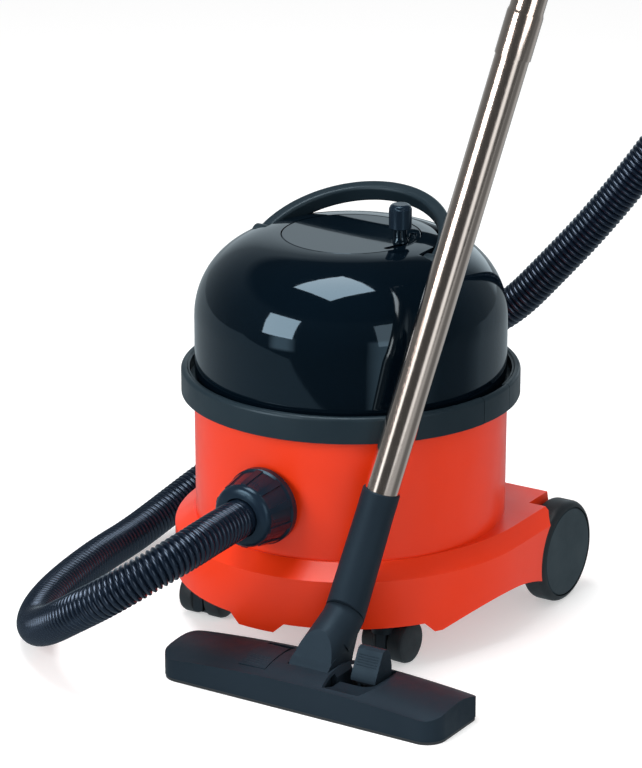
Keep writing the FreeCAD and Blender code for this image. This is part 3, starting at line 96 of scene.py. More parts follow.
class ShaderSheet:
    """One material's node tree, with short calls that add and join its nodes."""

    def __init__(self, name: str) -> None:
        """Starts an empty node tree.

        Args:
            name: The material's name.
        """
        self.material = bpy.data.materials.new(name)
        self.material.use_nodes = True
        self.tree = self.material.node_tree
        self.tree.nodes.clear()
        self.output = self.tree.nodes.new("ShaderNodeOutputMaterial")
        self.shader = self.tree.nodes.new("ShaderNodeBsdfPrincipled")
        self.tree.links.new(self.shader.outputs["BSDF"], self.output.inputs["Surface"])
        self.place = self.tree.nodes.new("ShaderNodeTexCoord").outputs["Object"]

    def node(self, kind: str, **inputs: Any) -> bpy.types.Node:
        """Adds a node and sets its inputs, given by name with _ for a space.

        Args:
            kind: The node's type.
            inputs: Values or sockets for the inputs.

        Returns:
            The new node.
        """
        made = self.tree.nodes.new(kind)
        for key, value in inputs.items():
            socket = made.inputs[key.replace("_", " ")]
            if isinstance(value, Socket):
                self.tree.links.new(value, socket)
            else:
                socket.default_value = value
        return made

    def vector(self, operation: str, first: Socket, second: Point | None = None) -> Socket:
        """Adds a vector sum.

        Args:
            operation: The sum, such as SUBTRACT.
            first: Its first vector.
            second: A fixed second vector, where the sum takes one.

        Returns:
            The sum's vector, or its value for a dot product.
        """
        made = self.tree.nodes.new("ShaderNodeVectorMath")
        made.operation = operation
        self.tree.links.new(first, made.inputs[0])
        if second is not None:
            made.inputs[1].default_value = second
        return made.outputs["Value" if operation == "DOT_PRODUCT" else "Vector"]

    def noise(self, scale: float, detail: float = 2.0, stretch: Point | None = None) -> Socket:
        """A noise value over the piece's own coordinates.

        Args:
            scale: Blotches per metre.
            detail: The noise's octaves.
            stretch: Scale per axis, for grain that runs one way.

        Returns:
            The noise's factor socket, mostly between NOISE_LOW and NOISE_HIGH.
        """
        place = self.place
        if stretch is not None:
            place = self.node("ShaderNodeMapping", Vector=place, Scale=stretch).outputs["Vector"]
        made = self.node("ShaderNodeTexNoise", Vector=place, Scale=scale, Detail=detail)
        return made.outputs["Fac"]

    def ramp(self, factor: Socket, low: float, high: float) -> Socket:
        """Maps a noise factor's usual span to low..high."""
        made = self.node("ShaderNodeMapRange", Value=factor, From_Min=NOISE_LOW,
                         From_Max=NOISE_HIGH, To_Min=low, To_Max=high)
        return made.outputs["Result"]

    def tint(self, factor: Socket, colour: Point, spread: float) -> None:
        """Sets a base colour that varies by a share of itself either way.

        Args:
            factor: The noise that steers it.
            colour: The middle colour, linear.
            spread: The share, such as 0.05.
        """
        mix = self.tree.nodes.new("ShaderNodeMix")
        mix.data_type = "RGBA"
        self.tree.links.new(self.ramp(factor, 0.0, 1.0), mix.inputs[0])
        mix.inputs[6].default_value = (*[c * (1 - spread) for c in colour], 1.0)
        mix.inputs[7].default_value = (*[min(1.0, c * (1 + spread)) for c in colour], 1.0)
        self.tree.links.new(mix.outputs[2], self.shader.inputs["Base Color"])

    def drift(self, factor: Socket, low: float, high: float) -> None:
        """Lets a noise move the roughness between low and high."""
        self.tree.links.new(self.ramp(factor, low, high), self.shader.inputs["Roughness"])

    def relief(self, layers: Sequence[tuple[Socket, float, float]]) -> None:
        """Stacks bump layers onto the shader's normal.

        Args:
            layers: For each layer its height socket, depth in metres and strength.
        """
        below = None
        for height, depth, strength in layers:
            bump = self.node("ShaderNodeBump", Height=height, Distance=depth, Strength=strength)
            if below is not None:
                self.tree.links.new(below, bump.inputs["Normal"])
            below = bump.outputs["Normal"]
        if below is not None:
            self.tree.links.new(below, self.shader.inputs["Normal"])

    def fix(self, **values: Any) -> None:
        """Sets the shader's own sockets, given by name with _ for a space."""
        for key, value in values.items():
            self.shader.inputs[key.replace("_", " ")].default_value = value


@dataclass(frozen=True)
class Finish:
    """What every finish has: its slot, middle colour, roughness and colour spread."""

    slot: Slot
    colour: Point
    roughness: float
    spread: float
    clouds: float = 9.0

    def material(self) -> bpy.types.Material:
        """The finish as a Blender material, made once.

        Returns:
            The material.
        """
        known = bpy.data.materials.get("finish_" + self.slot.value)
        if known is not None:
            return known
        sheet = ShaderSheet("finish_" + self.slot.value)
        sheet.tint(sheet.noise(self.clouds, 3.0), self.colour, self.spread)
        self.dress(sheet)
        return sheet.material

    def dress(self, sheet: ShaderSheet) -> None:
        """Adds what sets this kind of finish apart."""
        sheet.fix(Roughness=self.roughness)


@dataclass(frozen=True)
class MouldedPlastic(Finish):
    """Injection-moulded plastic: an even gloss, faint flow marks and a spark-eroded grain."""

    gloss: float = 0.0
    gloss_roughness: float = 0.04
    grain: float = 1400.0
    grain_depth: float = 0.04 * MM
    ripple: float = 28.0
    ripple_depth: float = 0.12 * MM
    patches: float = 35.0
    patch_share: float = 0.15
    specular: float = 0.5
    tone: Point = (1.0, 1.0, 1.0)

    def dress(self, sheet: ShaderSheet) -> None:
        """Adds roughness that drifts a little, the grain and the mould's shallow ripple.

        Args:
            sheet: The material's node tree.
        """
        sheet.drift(sheet.noise(self.patches, 4.0), self.roughness * (1 - self.patch_share),
                    self.roughness * (1 + self.patch_share))
        sheet.fix(Coat_Weight=self.gloss, Coat_Roughness=self.gloss_roughness,
                  Specular_IOR_Level=self.specular, Specular_Tint=(*self.tone, 1.0))
        layers = []
        if self.ripple_depth:
            layers.append((sheet.noise(self.ripple, 1.0), self.ripple_depth, 0.5))
        if self.grain_depth:
            layers.append((sheet.noise(self.grain, 2.0), self.grain_depth, 0.6))
        sheet.relief(layers)


@dataclass(frozen=True)
class DrawnSteel(Finish):
    """Drawn or rolled steel: fine lines one way under a clear polish."""

    lines: Point = (900.0, 900.0, 30.0)
    line_depth: float = 0.012 * MM
    streaks: tuple[float, float] = (0.75, 1.3)

    def dress(self, sheet: ShaderSheet) -> None:
        """Adds metal, fine lines and roughness along them.

        Args:
            sheet: The material's node tree.
        """
        lines = sheet.noise(1.0, 3.0, self.lines)
        sheet.drift(lines, *[self.roughness * share for share in self.streaks])
        sheet.fix(Metallic=1.0)
        sheet.relief([(lines, self.line_depth, 0.35)])


@dataclass(frozen=True)
class SoftRubber(Finish):
    """Dull elastomer with a fine open grain."""

    bloom: float = 0.08
    blooms: float = 60.0
    pores: float = 900.0
    pore_depth: float = 0.05 * MM

    def dress(self, sheet: ShaderSheet) -> None:
        """Adds the grain and a slight bloom.

        Args:
            sheet: The material's node tree.
        """
        sheet.drift(sheet.noise(self.blooms, 5.0), self.roughness - self.bloom,
                    self.roughness + self.bloom)
        sheet.relief([(sheet.noise(self.pores, 3.0), self.pore_depth, 0.5)])


@dataclass(frozen=True)
class BristleRow(Finish):
    """A brush strip's packed bristles, which stand upright side by side."""

    bristles: Point = (1500.0, 1500.0, 25.0)
    gap_depth: float = 0.8 * MM
    wear: float = 0.15

    def dress(self, sheet: ShaderSheet) -> None:
        """Adds deep upright lines and a spread of roughness from bristle to bristle.

        Args:
            sheet: The material's node tree.
        """
        upright = sheet.noise(1.0, 2.0, self.bristles)
        sheet.drift(upright, self.roughness - self.wear, self.roughness + self.wear)
        sheet.relief([(upright, self.gap_depth, 0.9)])


@dataclass(frozen=True)
class FeltCloth(Finish):
    """Pressed filter felt: short crossed fibres and no gloss."""

    upright: Point = (260.0, 60.0, 260.0)
    crossed: Point = (60.0, 260.0, 120.0)
    fibre_depth: float = 0.4 * MM

    def dress(self, sheet: ShaderSheet) -> None:
        """Adds fibres in two directions and a soft sheen.

        Args:
            sheet: The material's node tree.
        """
        sheet.fix(Roughness=self.roughness, Sheen_Weight=0.25, Sheen_Roughness=0.6)
        sheet.relief([(sheet.noise(1.0, 4.0, way), self.fibre_depth, 0.5)
                      for way in (self.upright, self.crossed)])


PALE_TONE = (0.70, 0.88, 1.0)
DEEP_TONE = (0.50, 0.78, 1.0)
DOME_TONE = (0.58, 0.82, 1.0)
HOSE_TONE = (0.60, 0.76, 1.0)

FINISHES: dict[Slot, Finish] = {
    finish.slot: finish for finish in (
        MouldedPlastic(Slot.RED, (0.86, 0.040, 0.005), 0.34, 0.03, gloss=0.06, grain=1900.0,
                       grain_depth=0.01 * MM, ripple_depth=0.0, specular=0.33),
        MouldedPlastic(Slot.DOME, (0.0012, 0.0038, 0.0072), 0.05, 0.15, grain_depth=0.0,
                       ripple_depth=0.0, tone=DOME_TONE),
        MouldedPlastic(Slot.SLATE, (0.0095, 0.0190, 0.0265), 0.42, 0.10, specular=0.40,
                       tone=PALE_TONE),
        MouldedPlastic(Slot.GLOSS, (0.0075, 0.0145, 0.0250), 0.22, 0.15, grain_depth=0.0,
                       ripple_depth=0.05 * MM, specular=0.36, tone=DEEP_TONE),
        MouldedPlastic(Slot.MATTE, (0.0075, 0.0105, 0.0145), 0.48, 0.12, specular=0.38,
                       tone=PALE_TONE),
        MouldedPlastic(Slot.TOOL, (0.0125, 0.0200, 0.0290), 0.52, 0.10, grain=1100.0,
                       specular=0.24, tone=DEEP_TONE),
        MouldedPlastic(Slot.HOSE, (0.0040, 0.0080, 0.0160), 0.22, 0.12, grain_depth=0.0,
                       ripple_depth=0.0, specular=0.66, tone=HOSE_TONE),
        SoftRubber(Slot.TYRE, (0.010, 0.0155, 0.0200), 0.55, 0.10),
        MouldedPlastic(Slot.HUB, (0.020, 0.033, 0.041), 0.45, 0.08, specular=0.32,
                       tone=PALE_TONE),
        SoftRubber(Slot.SEAL, (0.012, 0.012, 0.013), 0.65, 0.10),
        DrawnSteel(Slot.WAND, (0.86, 0.68, 0.585), 0.15, 0.03),
        DrawnSteel(Slot.ROD, (0.55, 0.55, 0.56), 0.28, 0.05),
        DrawnSteel(Slot.SOLE, (0.10, 0.10, 0.105), 0.42, 0.05, lines=(30.0, 900.0, 900.0)),
        MouldedPlastic(Slot.CAST, (0.50, 0.50, 0.52), 0.50, 0.08, grain=500.0),
        FeltCloth(Slot.FELT, (0.60, 0.60, 0.57), 0.95, 0.08),
        BristleRow(Slot.BRISTLE, (0.015, 0.015, 0.015), 0.70, 0.20),
    )
}


# ---- surfaces


def finished(name: str, mesh: bpy.types.Mesh, smooth: float) -> bpy.types.Object:
    """Merges doubles, turns the faces outwards and sets smooth and sharp edges.

    Args:
        name: The piece's name.
        mesh: The mesh, in the row frame.
        smooth: Edges sharper than this, in degrees, stay sharp.

    Returns:
        The new object, linked to the scene.
    """
    work = bmesh.new()
    work.from_mesh(mesh)
    bmesh.ops.remove_doubles(work, verts=work.verts, dist=MERGE_REACH)
    bmesh.ops.recalc_face_normals(work, faces=work.faces)
    work.to_mesh(mesh)
    work.free()
    return stood(name, mesh, smooth)


def stood(name: str, mesh: bpy.types.Mesh, smooth: float) -> bpy.types.Object:
    """Stands a mesh in the scene as an object at the origin.

    Args:
        name: The piece's name.
        mesh: The mesh, in the row frame.
        smooth: Edges sharper than this, in degrees, stay sharp.

    Returns:
        The new object.
    """
    mesh.shade_smooth()
    mesh.set_sharp_from_angle(angle=math.radians(smooth))
    piece = bpy.data.objects.new(name, mesh)
    bpy.context.scene.collection.objects.link(piece)
    return piece


def wall_loop(name: str, rings: np.ndarray, smooth: float) -> bpy.types.Object:
    """A closed wall through rings of points whose last ring is the first one again.

    Point (i, j) is ring i's j-th point; each face joins neighbours in both directions.

    Args:
        name: The piece's name.
        rings: Points of shape (rings, points per ring, 3).
        smooth: Edges sharper than this, in degrees, stay sharp.

    Returns:
        The new object, linked to the scene.
    """
    count, around = rings.shape[:2]
    left = np.arange(count * around).reshape(count, around)
    right = np.roll(left, -1, axis=1)
    quads = np.stack([left[:-1], right[:-1], right[1:], left[1:]], axis=-1).reshape(-1, 4)
    mesh = bpy.data.meshes.new(name)
    mesh.from_pydata(rings.reshape(-1, 3).tolist(), [], quads.tolist())
    return finished(name, mesh, smooth)


def beads(name: str, start: np.ndarray, end: np.ndarray, lift: np.ndarray,
          radius: float) -> bpy.types.Object:
    """Round beads in one mesh, such as the grip lines on a pedal.

    Point j of a ring is at angle a: radius * (cos a * across + sin a * lift), and the ring
    shrinks to three quarters at both ends of its bead.

    Args:
        name: The piece's name.
        start: Each bead's first end, of shape (k, 3).
        end: Its other end.
        lift: The direction that it stands up in, at unit length.
        radius: The bead's radius in metres.

    Returns:
        The new object, linked to the scene.
    """
    sides, tip, tip_size, smooth = 9, 0.012, 0.75, 40.0
    along = end - start
    along /= np.linalg.norm(along, axis=1)[:, None]
    across = np.cross(lift, along)
    turn = np.linspace(0.0, 2 * np.pi, sides, endpoint=False)[None, :, None]
    section = np.cos(turn) * across[:, None] + np.sin(turn) * lift[:, None]
    share = np.array([0.0, tip, 1.0 - tip, 1.0])[None, :, None, None]
    size = np.array([tip_size, 1.0, 1.0, tip_size])[None, :, None, None] * radius
    middle = start[:, None, None] * (1 - share) + end[:, None, None] * share
    points = middle + size * section[:, None]
    count, rings = len(start), share.size
    index = np.arange(count * rings * sides).reshape(count, rings, sides)
    right = np.roll(index, -1, axis=2)
    quads = np.stack([index[:, :-1], right[:, :-1], right[:, 1:], index[:, 1:]], axis=-1)
    caps = np.concatenate([index[:, 0, ::-1], index[:, -1]])
    mesh = bpy.data.meshes.new(name)
    mesh.from_pydata(points.reshape(-1, 3).tolist(), [],
                     quads.reshape(-1, 4).tolist() + caps.tolist())
    return finished(name, mesh, smooth)


def on_outline(outline: Sequence[tuple[float, float]],
               places: Sequence[float]) -> tuple[np.ndarray, np.ndarray]:
    """Points at given distances along an outline (y, z), and the outward directions there.

    Args:
        outline: The outline's corners in millimetres, the outside on the left of their order.
        places: Distances from its first corner, in millimetres.

    Returns:
        Points (y, z) in metres and directions (y, z), each of shape (k, 2).
    """
    rim = np.array(outline, float)
    steps = np.diff(rim, axis=0)
    lengths = np.concatenate([[0.0], np.cumsum(np.linalg.norm(steps, axis=1))])
    spots = np.stack([np.interp(places, lengths, rim[:, axis]) for axis in range(2)], axis=1)
    way = steps[np.clip(np.searchsorted(lengths, places) - 1, 0, len(steps) - 1)]
    way = way / np.linalg.norm(way, axis=1)[:, None]
    return spots * MM, np.stack([way[:, 1], -way[:, 0]], axis=1)


def carried_sides(line: np.ndarray) -> tuple[np.ndarray, np.ndarray]:
    """Two sides square to a line that never spin about it.

    Each side vector is the one before with its part along the new tangent taken out, and the
    second side is square to the tangent and the first.

    Args:
        line: Points of shape (k, 3).

    Returns:
        Both sides, each of shape (k, 3).
    """
    tangent = np.gradient(line, axis=0)
    tangent /= np.linalg.norm(tangent, axis=1)[:, None]
    first = tangent[0]
    helper = np.array([1.0, 0.0, 0.0]) if abs(first[0]) < 0.9 else np.array([0.0, 1.0, 0.0])
    steady = np.cross(first, helper)
    side = np.zeros_like(line)
    for number, way in enumerate(tangent):
        steady = steady - way * (steady @ way)
        steady = steady / np.linalg.norm(steady)
        side[number] = steady
    return side, np.cross(tangent, side)


def resampled(line: np.ndarray, step: float) -> tuple[np.ndarray, np.ndarray]:
    """Points at even steps along a line.

    Args:
        line: Points of shape (k, 3).
        step: The wanted distance between points.

    Returns:
        The points and their distances from the start.
    """
    lengths = np.concatenate([[0.0], np.cumsum(np.linalg.norm(np.diff(line, axis=0), axis=1))])
    count = max(2, int(round(lengths[-1] / step)) + 1)
    places = np.linspace(0.0, lengths[-1], count)
    spots = [np.interp(places, lengths, line[:, axis]) for axis in range(3)]
    return np.stack(spots, axis=1), places


def node_twin(node: str, smooth: float, bevel: float) -> bpy.types.Object:
    """A merged copy of a CAD node, with its flat triangles joined and its edges eased.

    Args:
        node: The CAD node's name.
        smooth: Edges sharper than this, in degrees, stay sharp.
        bevel: The width of the eased edge in metres, or 0 for none.

    Returns:
        The copy, which isn't yet on a body.
    """
    mesh = bpy.data.objects[node].data.copy()
    mesh.materials.clear()
    shading = ("custom_normal", "sharp_edge", "sharp_face")
    for name in [entry.name for entry in mesh.attributes if entry.name in shading]:
        mesh.attributes.remove(mesh.attributes[name])
    work = bmesh.new()
    work.from_mesh(mesh)
    bmesh.ops.remove_doubles(work, verts=work.verts, dist=TWIN_MERGE_REACH)
    bmesh.ops.dissolve_limit(work, angle_limit=math.radians(TWIN_FLAT), verts=work.verts,
                             edges=work.edges, use_dissolve_boundaries=False)
    work.to_mesh(mesh)
    work.free()
    piece = stood(node + "_skin", mesh, smooth)
    if bevel:
        ease = piece.modifiers.new("eased_edges", "BEVEL")
        ease.width = bevel
        ease.segments = EASE_SEGMENTS
        ease.limit_method = "ANGLE"
        ease.angle_limit = math.radians(smooth)
        ease.harden_normals = True
    return piece


# ---- sub-assemblies


class Carried(NamedTuple):
    """A CAD node that is carried over: its body, finish, smoothing angle and eased edge."""

    node: str
    body: str
    slot: Slot
    smooth: float = 35.0
    ease: float = 0.0


@dataclass
class SubAssembly:
    """A group of pieces that is built and dressed together."""

    fine_ease: float = 0.3 * MM
    small_ease: float = 0.4 * MM
    ease: float = 0.5 * MM
    broad_ease: float = 0.6 * MM
    soft_ease: float = 0.8 * MM
    moulded: float = 30.0

    def seat(self, piece: bpy.types.Object, body: str, slot: Slot, *nodes: str) -> None:
        """Dresses a piece, sets it on its body and lets it stand for CAD nodes.

        Args:
            piece: The new piece, in the row frame.
            body: The CAD body that carries it.
            slot: Its finish.
            nodes: The CAD nodes that it stands for.
        """
        piece.data.materials.clear()
        piece.data.materials.append(FINISHES[slot].material())
        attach(piece, body)
        if nodes:
            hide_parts(*nodes)
        LOG.info("seated %s on %s", piece.name, body)

    def carry(self, pieces: Sequence[Carried]) -> None:
        """Stands a merged, eased copy in for each CAD node.

        Args:
            pieces: The nodes to carry over.
        """
        for node, body, slot, smooth, ease in pieces:
            self.seat(node_twin(node, smooth, ease), body, slot, node)


@dataclass
class SuctionHose(SubAssembly):
    """The ribbed hose from the tub's inlet to the wand's end."""

    radius: float = 19.0 * MM
    valley: float = 15.8 * MM
    bore: float = 15.0 * MM
    rib_pitch: float = 5.6 * MM
    rib_fullness: float = 0.75
    rings_per_rib: int = 6
    sides: int = 30
    plain_end: float = 16.0 * MM
    end_slack: float = 0.7 * MM
    smooth: float = 60.0
    spline_steps: int = 24
    path_stride: int = 4
    route: tuple[Point, ...] = (
        (0, -186, 155), (0, -232, 154.5), (-4, -277, 149), (-22, -313, 135), (-58, -333, 109),
        (-103, -328, 80), (-151, -300, 48), (-195, -262, 24), (-222, -218, 20), (-238, -170, 20),
        (-249, -117, 20), (-257, -62, 20), (-258, -6, 22), (-254, 48, 33), (-244, 104, 50),
        (-222, 158, 72), (-182, 206, 98), (-126, 238, 134), (-62, 252, 180), (-6, 256, 219),
        (38, 258, 248), (76, 266, 292), (112, 278, 336), (152, 292, 392), (196, 304, 460),
        (236, 324, 536), (270, 350, 614), (300, 376, 696), (326, 398, 782), (348, 412, 868),
        (366, 414, 954), (376, 402, 1010), (381, 374, 1066), (379, 330, 1103), (367, 268, 1112),
        (342.4, 188.3, 1076.5), (326.6, 146.0, 1060.2),
    )

    def centreline(self) -> np.ndarray:
        """Reads the route's smooth line from a NURBS spline with its points as controls.

        Returns:
            Points of shape (k, 3).
        """
        curve = bpy.data.curves.new("hose_route", "CURVE")
        curve.dimensions = "3D"
        curve.resolution_u = self.spline_steps
        spline = curve.splines.new("NURBS")
        spline.points.add(len(self.route) - 1)
        for point, place in zip(spline.points, self.route):
            point.co = (*[value * MM for value in place], 1.0)
        spline.order_u = 3
        spline.use_endpoint_u = True
        holder = bpy.data.objects.new("hose_route", curve)
        bpy.context.scene.collection.objects.link(holder)
        bpy.context.view_layer.update()
        shown = holder.evaluated_get(bpy.context.evaluated_depsgraph_get())
        mesh = bpy.data.meshes.new_from_object(shown)
        line = np.zeros(len(mesh.vertices) * 3)
        mesh.vertices.foreach_get("co", line)
        bpy.data.meshes.remove(mesh)
        bpy.data.objects.remove(holder)
        bpy.data.curves.remove(curve)
        return line.reshape(-1, 3)

    def build(self) -> None:
        """The outer radius rises to a rounded crest and falls to a narrow valley once per pitch:
        valley + (radius - valley) * |sin(pi * place / pitch)| ^ fullness. Both ends are plain.
        """
        smooth_line = self.centreline()
        line, place = resampled(smooth_line, self.rib_pitch / self.rings_per_rib)
        side, over = carried_sides(line)
        turn = np.linspace(0.0, 2 * np.pi, self.sides, endpoint=False)[None, :, None]
        wheel = np.cos(turn) * side[:, None] + np.sin(turn) * over[:, None]
        wave = np.abs(np.sin(np.pi * np.arange(len(place)) / self.rings_per_rib))
        ribbed = self.valley + (self.radius - self.valley) * wave ** self.rib_fullness
        margin = np.minimum(place, place[-1] - place)
        blend = np.clip((margin - self.plain_end) / self.rib_pitch, 0.0, 1.0)
        radius = ribbed * blend + (self.radius - self.end_slack) * (1 - blend)
        outer = line[:, None] + radius[:, None, None] * wheel
        bore = line[:, None] + self.bore * wheel
        rings = np.concatenate([outer, bore[::-1][::self.rings_per_rib], bore[:1], outer[:1]])
        hose = wall_loop("suction_hose", rings, self.smooth)
        self.seat(hose, "tub", Slot.HOSE, "hose")


@dataclass
class SteelWand(SubAssembly):
    """The steel wand: two tubes, the bent end and their plastic cuffs."""

    def build(self) -> None:
        """Dresses the wand's pieces."""
        self.carry([
            Carried("lower_tube", "tub", Slot.WAND),
            Carried("upper_tube", "tub", Slot.WAND),
            Carried("bent_tube", "tub", Slot.WAND),
            Carried("tool_elbow", "tub", Slot.TOOL, ease=self.ease),
            Carried("hose_end_cuff", "tub", Slot.GLOSS, ease=self.small_ease),
            Carried("air_slider", "air_slider", Slot.MATTE, ease=self.fine_ease),
        ])


@dataclass
class TubBody(SubAssembly):
    """The red tub with its inlet, filter and running gear."""

    rim_smooth: float = 28.0

    def build(self) -> None:
        """Dresses the tub's pieces."""
        self.carry([
            Carried("tub_shell", "tub", Slot.RED, self.rim_smooth, self.broad_ease),
            Carried("inlet_neck", "tub", Slot.GLOSS),
            Carried("hose_cuff", "hose_cuff", Slot.GLOSS, self.moulded, self.ease),
            Carried("filter_frame", "tub", Slot.MATTE),
            Carried("filter_cloth", "tub", Slot.FELT),
            Carried("rear_axle", "tub", Slot.ROD),
            Carried("clip_pins", "tub", Slot.ROD),
        ])
        for side in ("left", "right"):
            wheel, castor, pair = "wheel_" + side, "castor_" + side, "castor_wheels_" + side
            self.carry([
                Carried("rear_wheel_" + side, wheel, Slot.TYRE),
                Carried("hub_cap_" + side, wheel, Slot.HUB),
                Carried("castor_frame_" + side, castor, Slot.MATTE, ease=self.ease),
                Carried("castor_axle_" + side, castor, Slot.ROD),
                Carried(pair, pair, Slot.TYRE),
            ])


@dataclass
class MotorHead(SubAssembly):
    """The domed head with its collar, handle, reel and motor."""

    def build(self) -> None:
        """Dresses the head's pieces."""
        self.carry([
            Carried("head_collar", "head", Slot.SLATE, self.moulded, self.ease),
            Carried("head_seal", "head", Slot.SEAL),
            Carried("dome_cover", "head", Slot.DOME, self.moulded),
            Carried("rewind_disc", "reel", Slot.DOME, self.moulded, self.ease),
            Carried("crank_pin", "reel", Slot.ROD),
            Carried("crank_knob", "crank_knob", Slot.GLOSS),
            Carried("carry_handle", "carry_handle", Slot.SLATE, self.moulded),
            Carried("handle_pins", "head", Slot.ROD),
            Carried("power_switch", "power_switch", Slot.GLOSS, ease=self.small_ease),
            Carried("cable_gland", "head", Slot.SEAL),
            Carried("cable_reel", "reel", Slot.MATTE),
            Carried("motor_casing", "head", Slot.CAST),
            Carried("motor_rotor", "motor_rotor", Slot.CAST),
            Carried("motor_seal", "head", Slot.SEAL),
            Carried("clip_left", "clip_left", Slot.SLATE, self.moulded, self.ease),
            Carried("clip_right", "clip_right", Slot.SLATE, self.moulded, self.ease),
        ])


@dataclass
class FloorTool(SubAssembly):
    """The combination floor tool with its neck, pedals, sole and brushes."""

    grip_radius: float = 0.55 * MM
    grip_sink: float = 0.25 * MM
    grip_half: float = 10.8 * MM
    left_middle: float = 43.0 * MM
    left_outline: tuple[tuple[float, float], ...] = (
        (-203.0, 37.2), (-222.0, 36.4), (-236.0, 34.0), (-243.6, 31.6))
    left_places: tuple[float, ...] = (24.5, 27.7, 30.9, 34.1, 37.3)
    right_middle: float = 148.5 * MM
    right_outline: tuple[tuple[float, float], ...] = (
        (-201.0, 58.6), (-205.2, 57.0), (-208.6, 51.0), (-213.6, 42.0), (-218.4, 33.0))
    right_places: tuple[float, ...] = (9.8, 12.3, 14.8, 17.3, 19.8)

    def grips(self, side: str, middle: float, outline: Sequence[tuple[float, float]],
              places: Sequence[float]) -> None:
        """Raises the grip lines across a pedal's tread.

        Args:
            side: left or right.
            middle: The pedal's middle in X, in metres.
            outline: The tread's outline (y, z) in millimetres.
            places: Distances along it, in millimetres.
        """
        spots, way = on_outline(outline, places)
        lift = np.insert(way, 0, 0.0, axis=1)
        start = np.insert(spots, 0, middle - self.grip_half, axis=1) - self.grip_sink * lift
        end = start + np.array([2 * self.grip_half, 0.0, 0.0])
        lines = beads("pedal_grips_" + side, start, end, lift, self.grip_radius)
        self.seat(lines, "pedal_" + side, Slot.TOOL)

    def build(self) -> None:
        """Dresses the floor tool's pieces."""
        self.carry([
            Carried("tool_housing", "floor_tool", Slot.TOOL, self.moulded, self.soft_ease),
            Carried("sole_plate", "floor_tool", Slot.SOLE, self.moulded),
            Carried("brush_strips", "brushes", Slot.BRISTLE, self.moulded),
            Carried("pedal_left", "pedal_left", Slot.TOOL, self.moulded, self.soft_ease),
            Carried("pedal_right", "pedal_right", Slot.TOOL, self.moulded, self.soft_ease),
        ])
        self.grips("left", self.left_middle, self.left_outline, self.left_places)
        self.grips("right", self.right_middle, self.right_outline, self.right_places)
        self.carry([
            Carried("swivel_neck", "neck", Slot.TOOL, self.moulded, self.broad_ease),
            Carried("neck_axle", "neck", Slot.ROD),
        ])


# ---- studio


class Softbox(NamedTuple):
    """A square area lamp: where it hangs, its side in metres and its radiance."""

    name: str
    place: Point
    side: float
    radiance: float


class Strip(NamedTuple):
    """An upright band of light in reflections.

    Its azimuth is in degrees from -Y towards +X, its half width and soft edge are in degrees,
    and it runs between two heights, as the Z of a unit direction.
    """

    azimuth: float
    half: float
    soft: float
    low: float
    high: float
    light: float


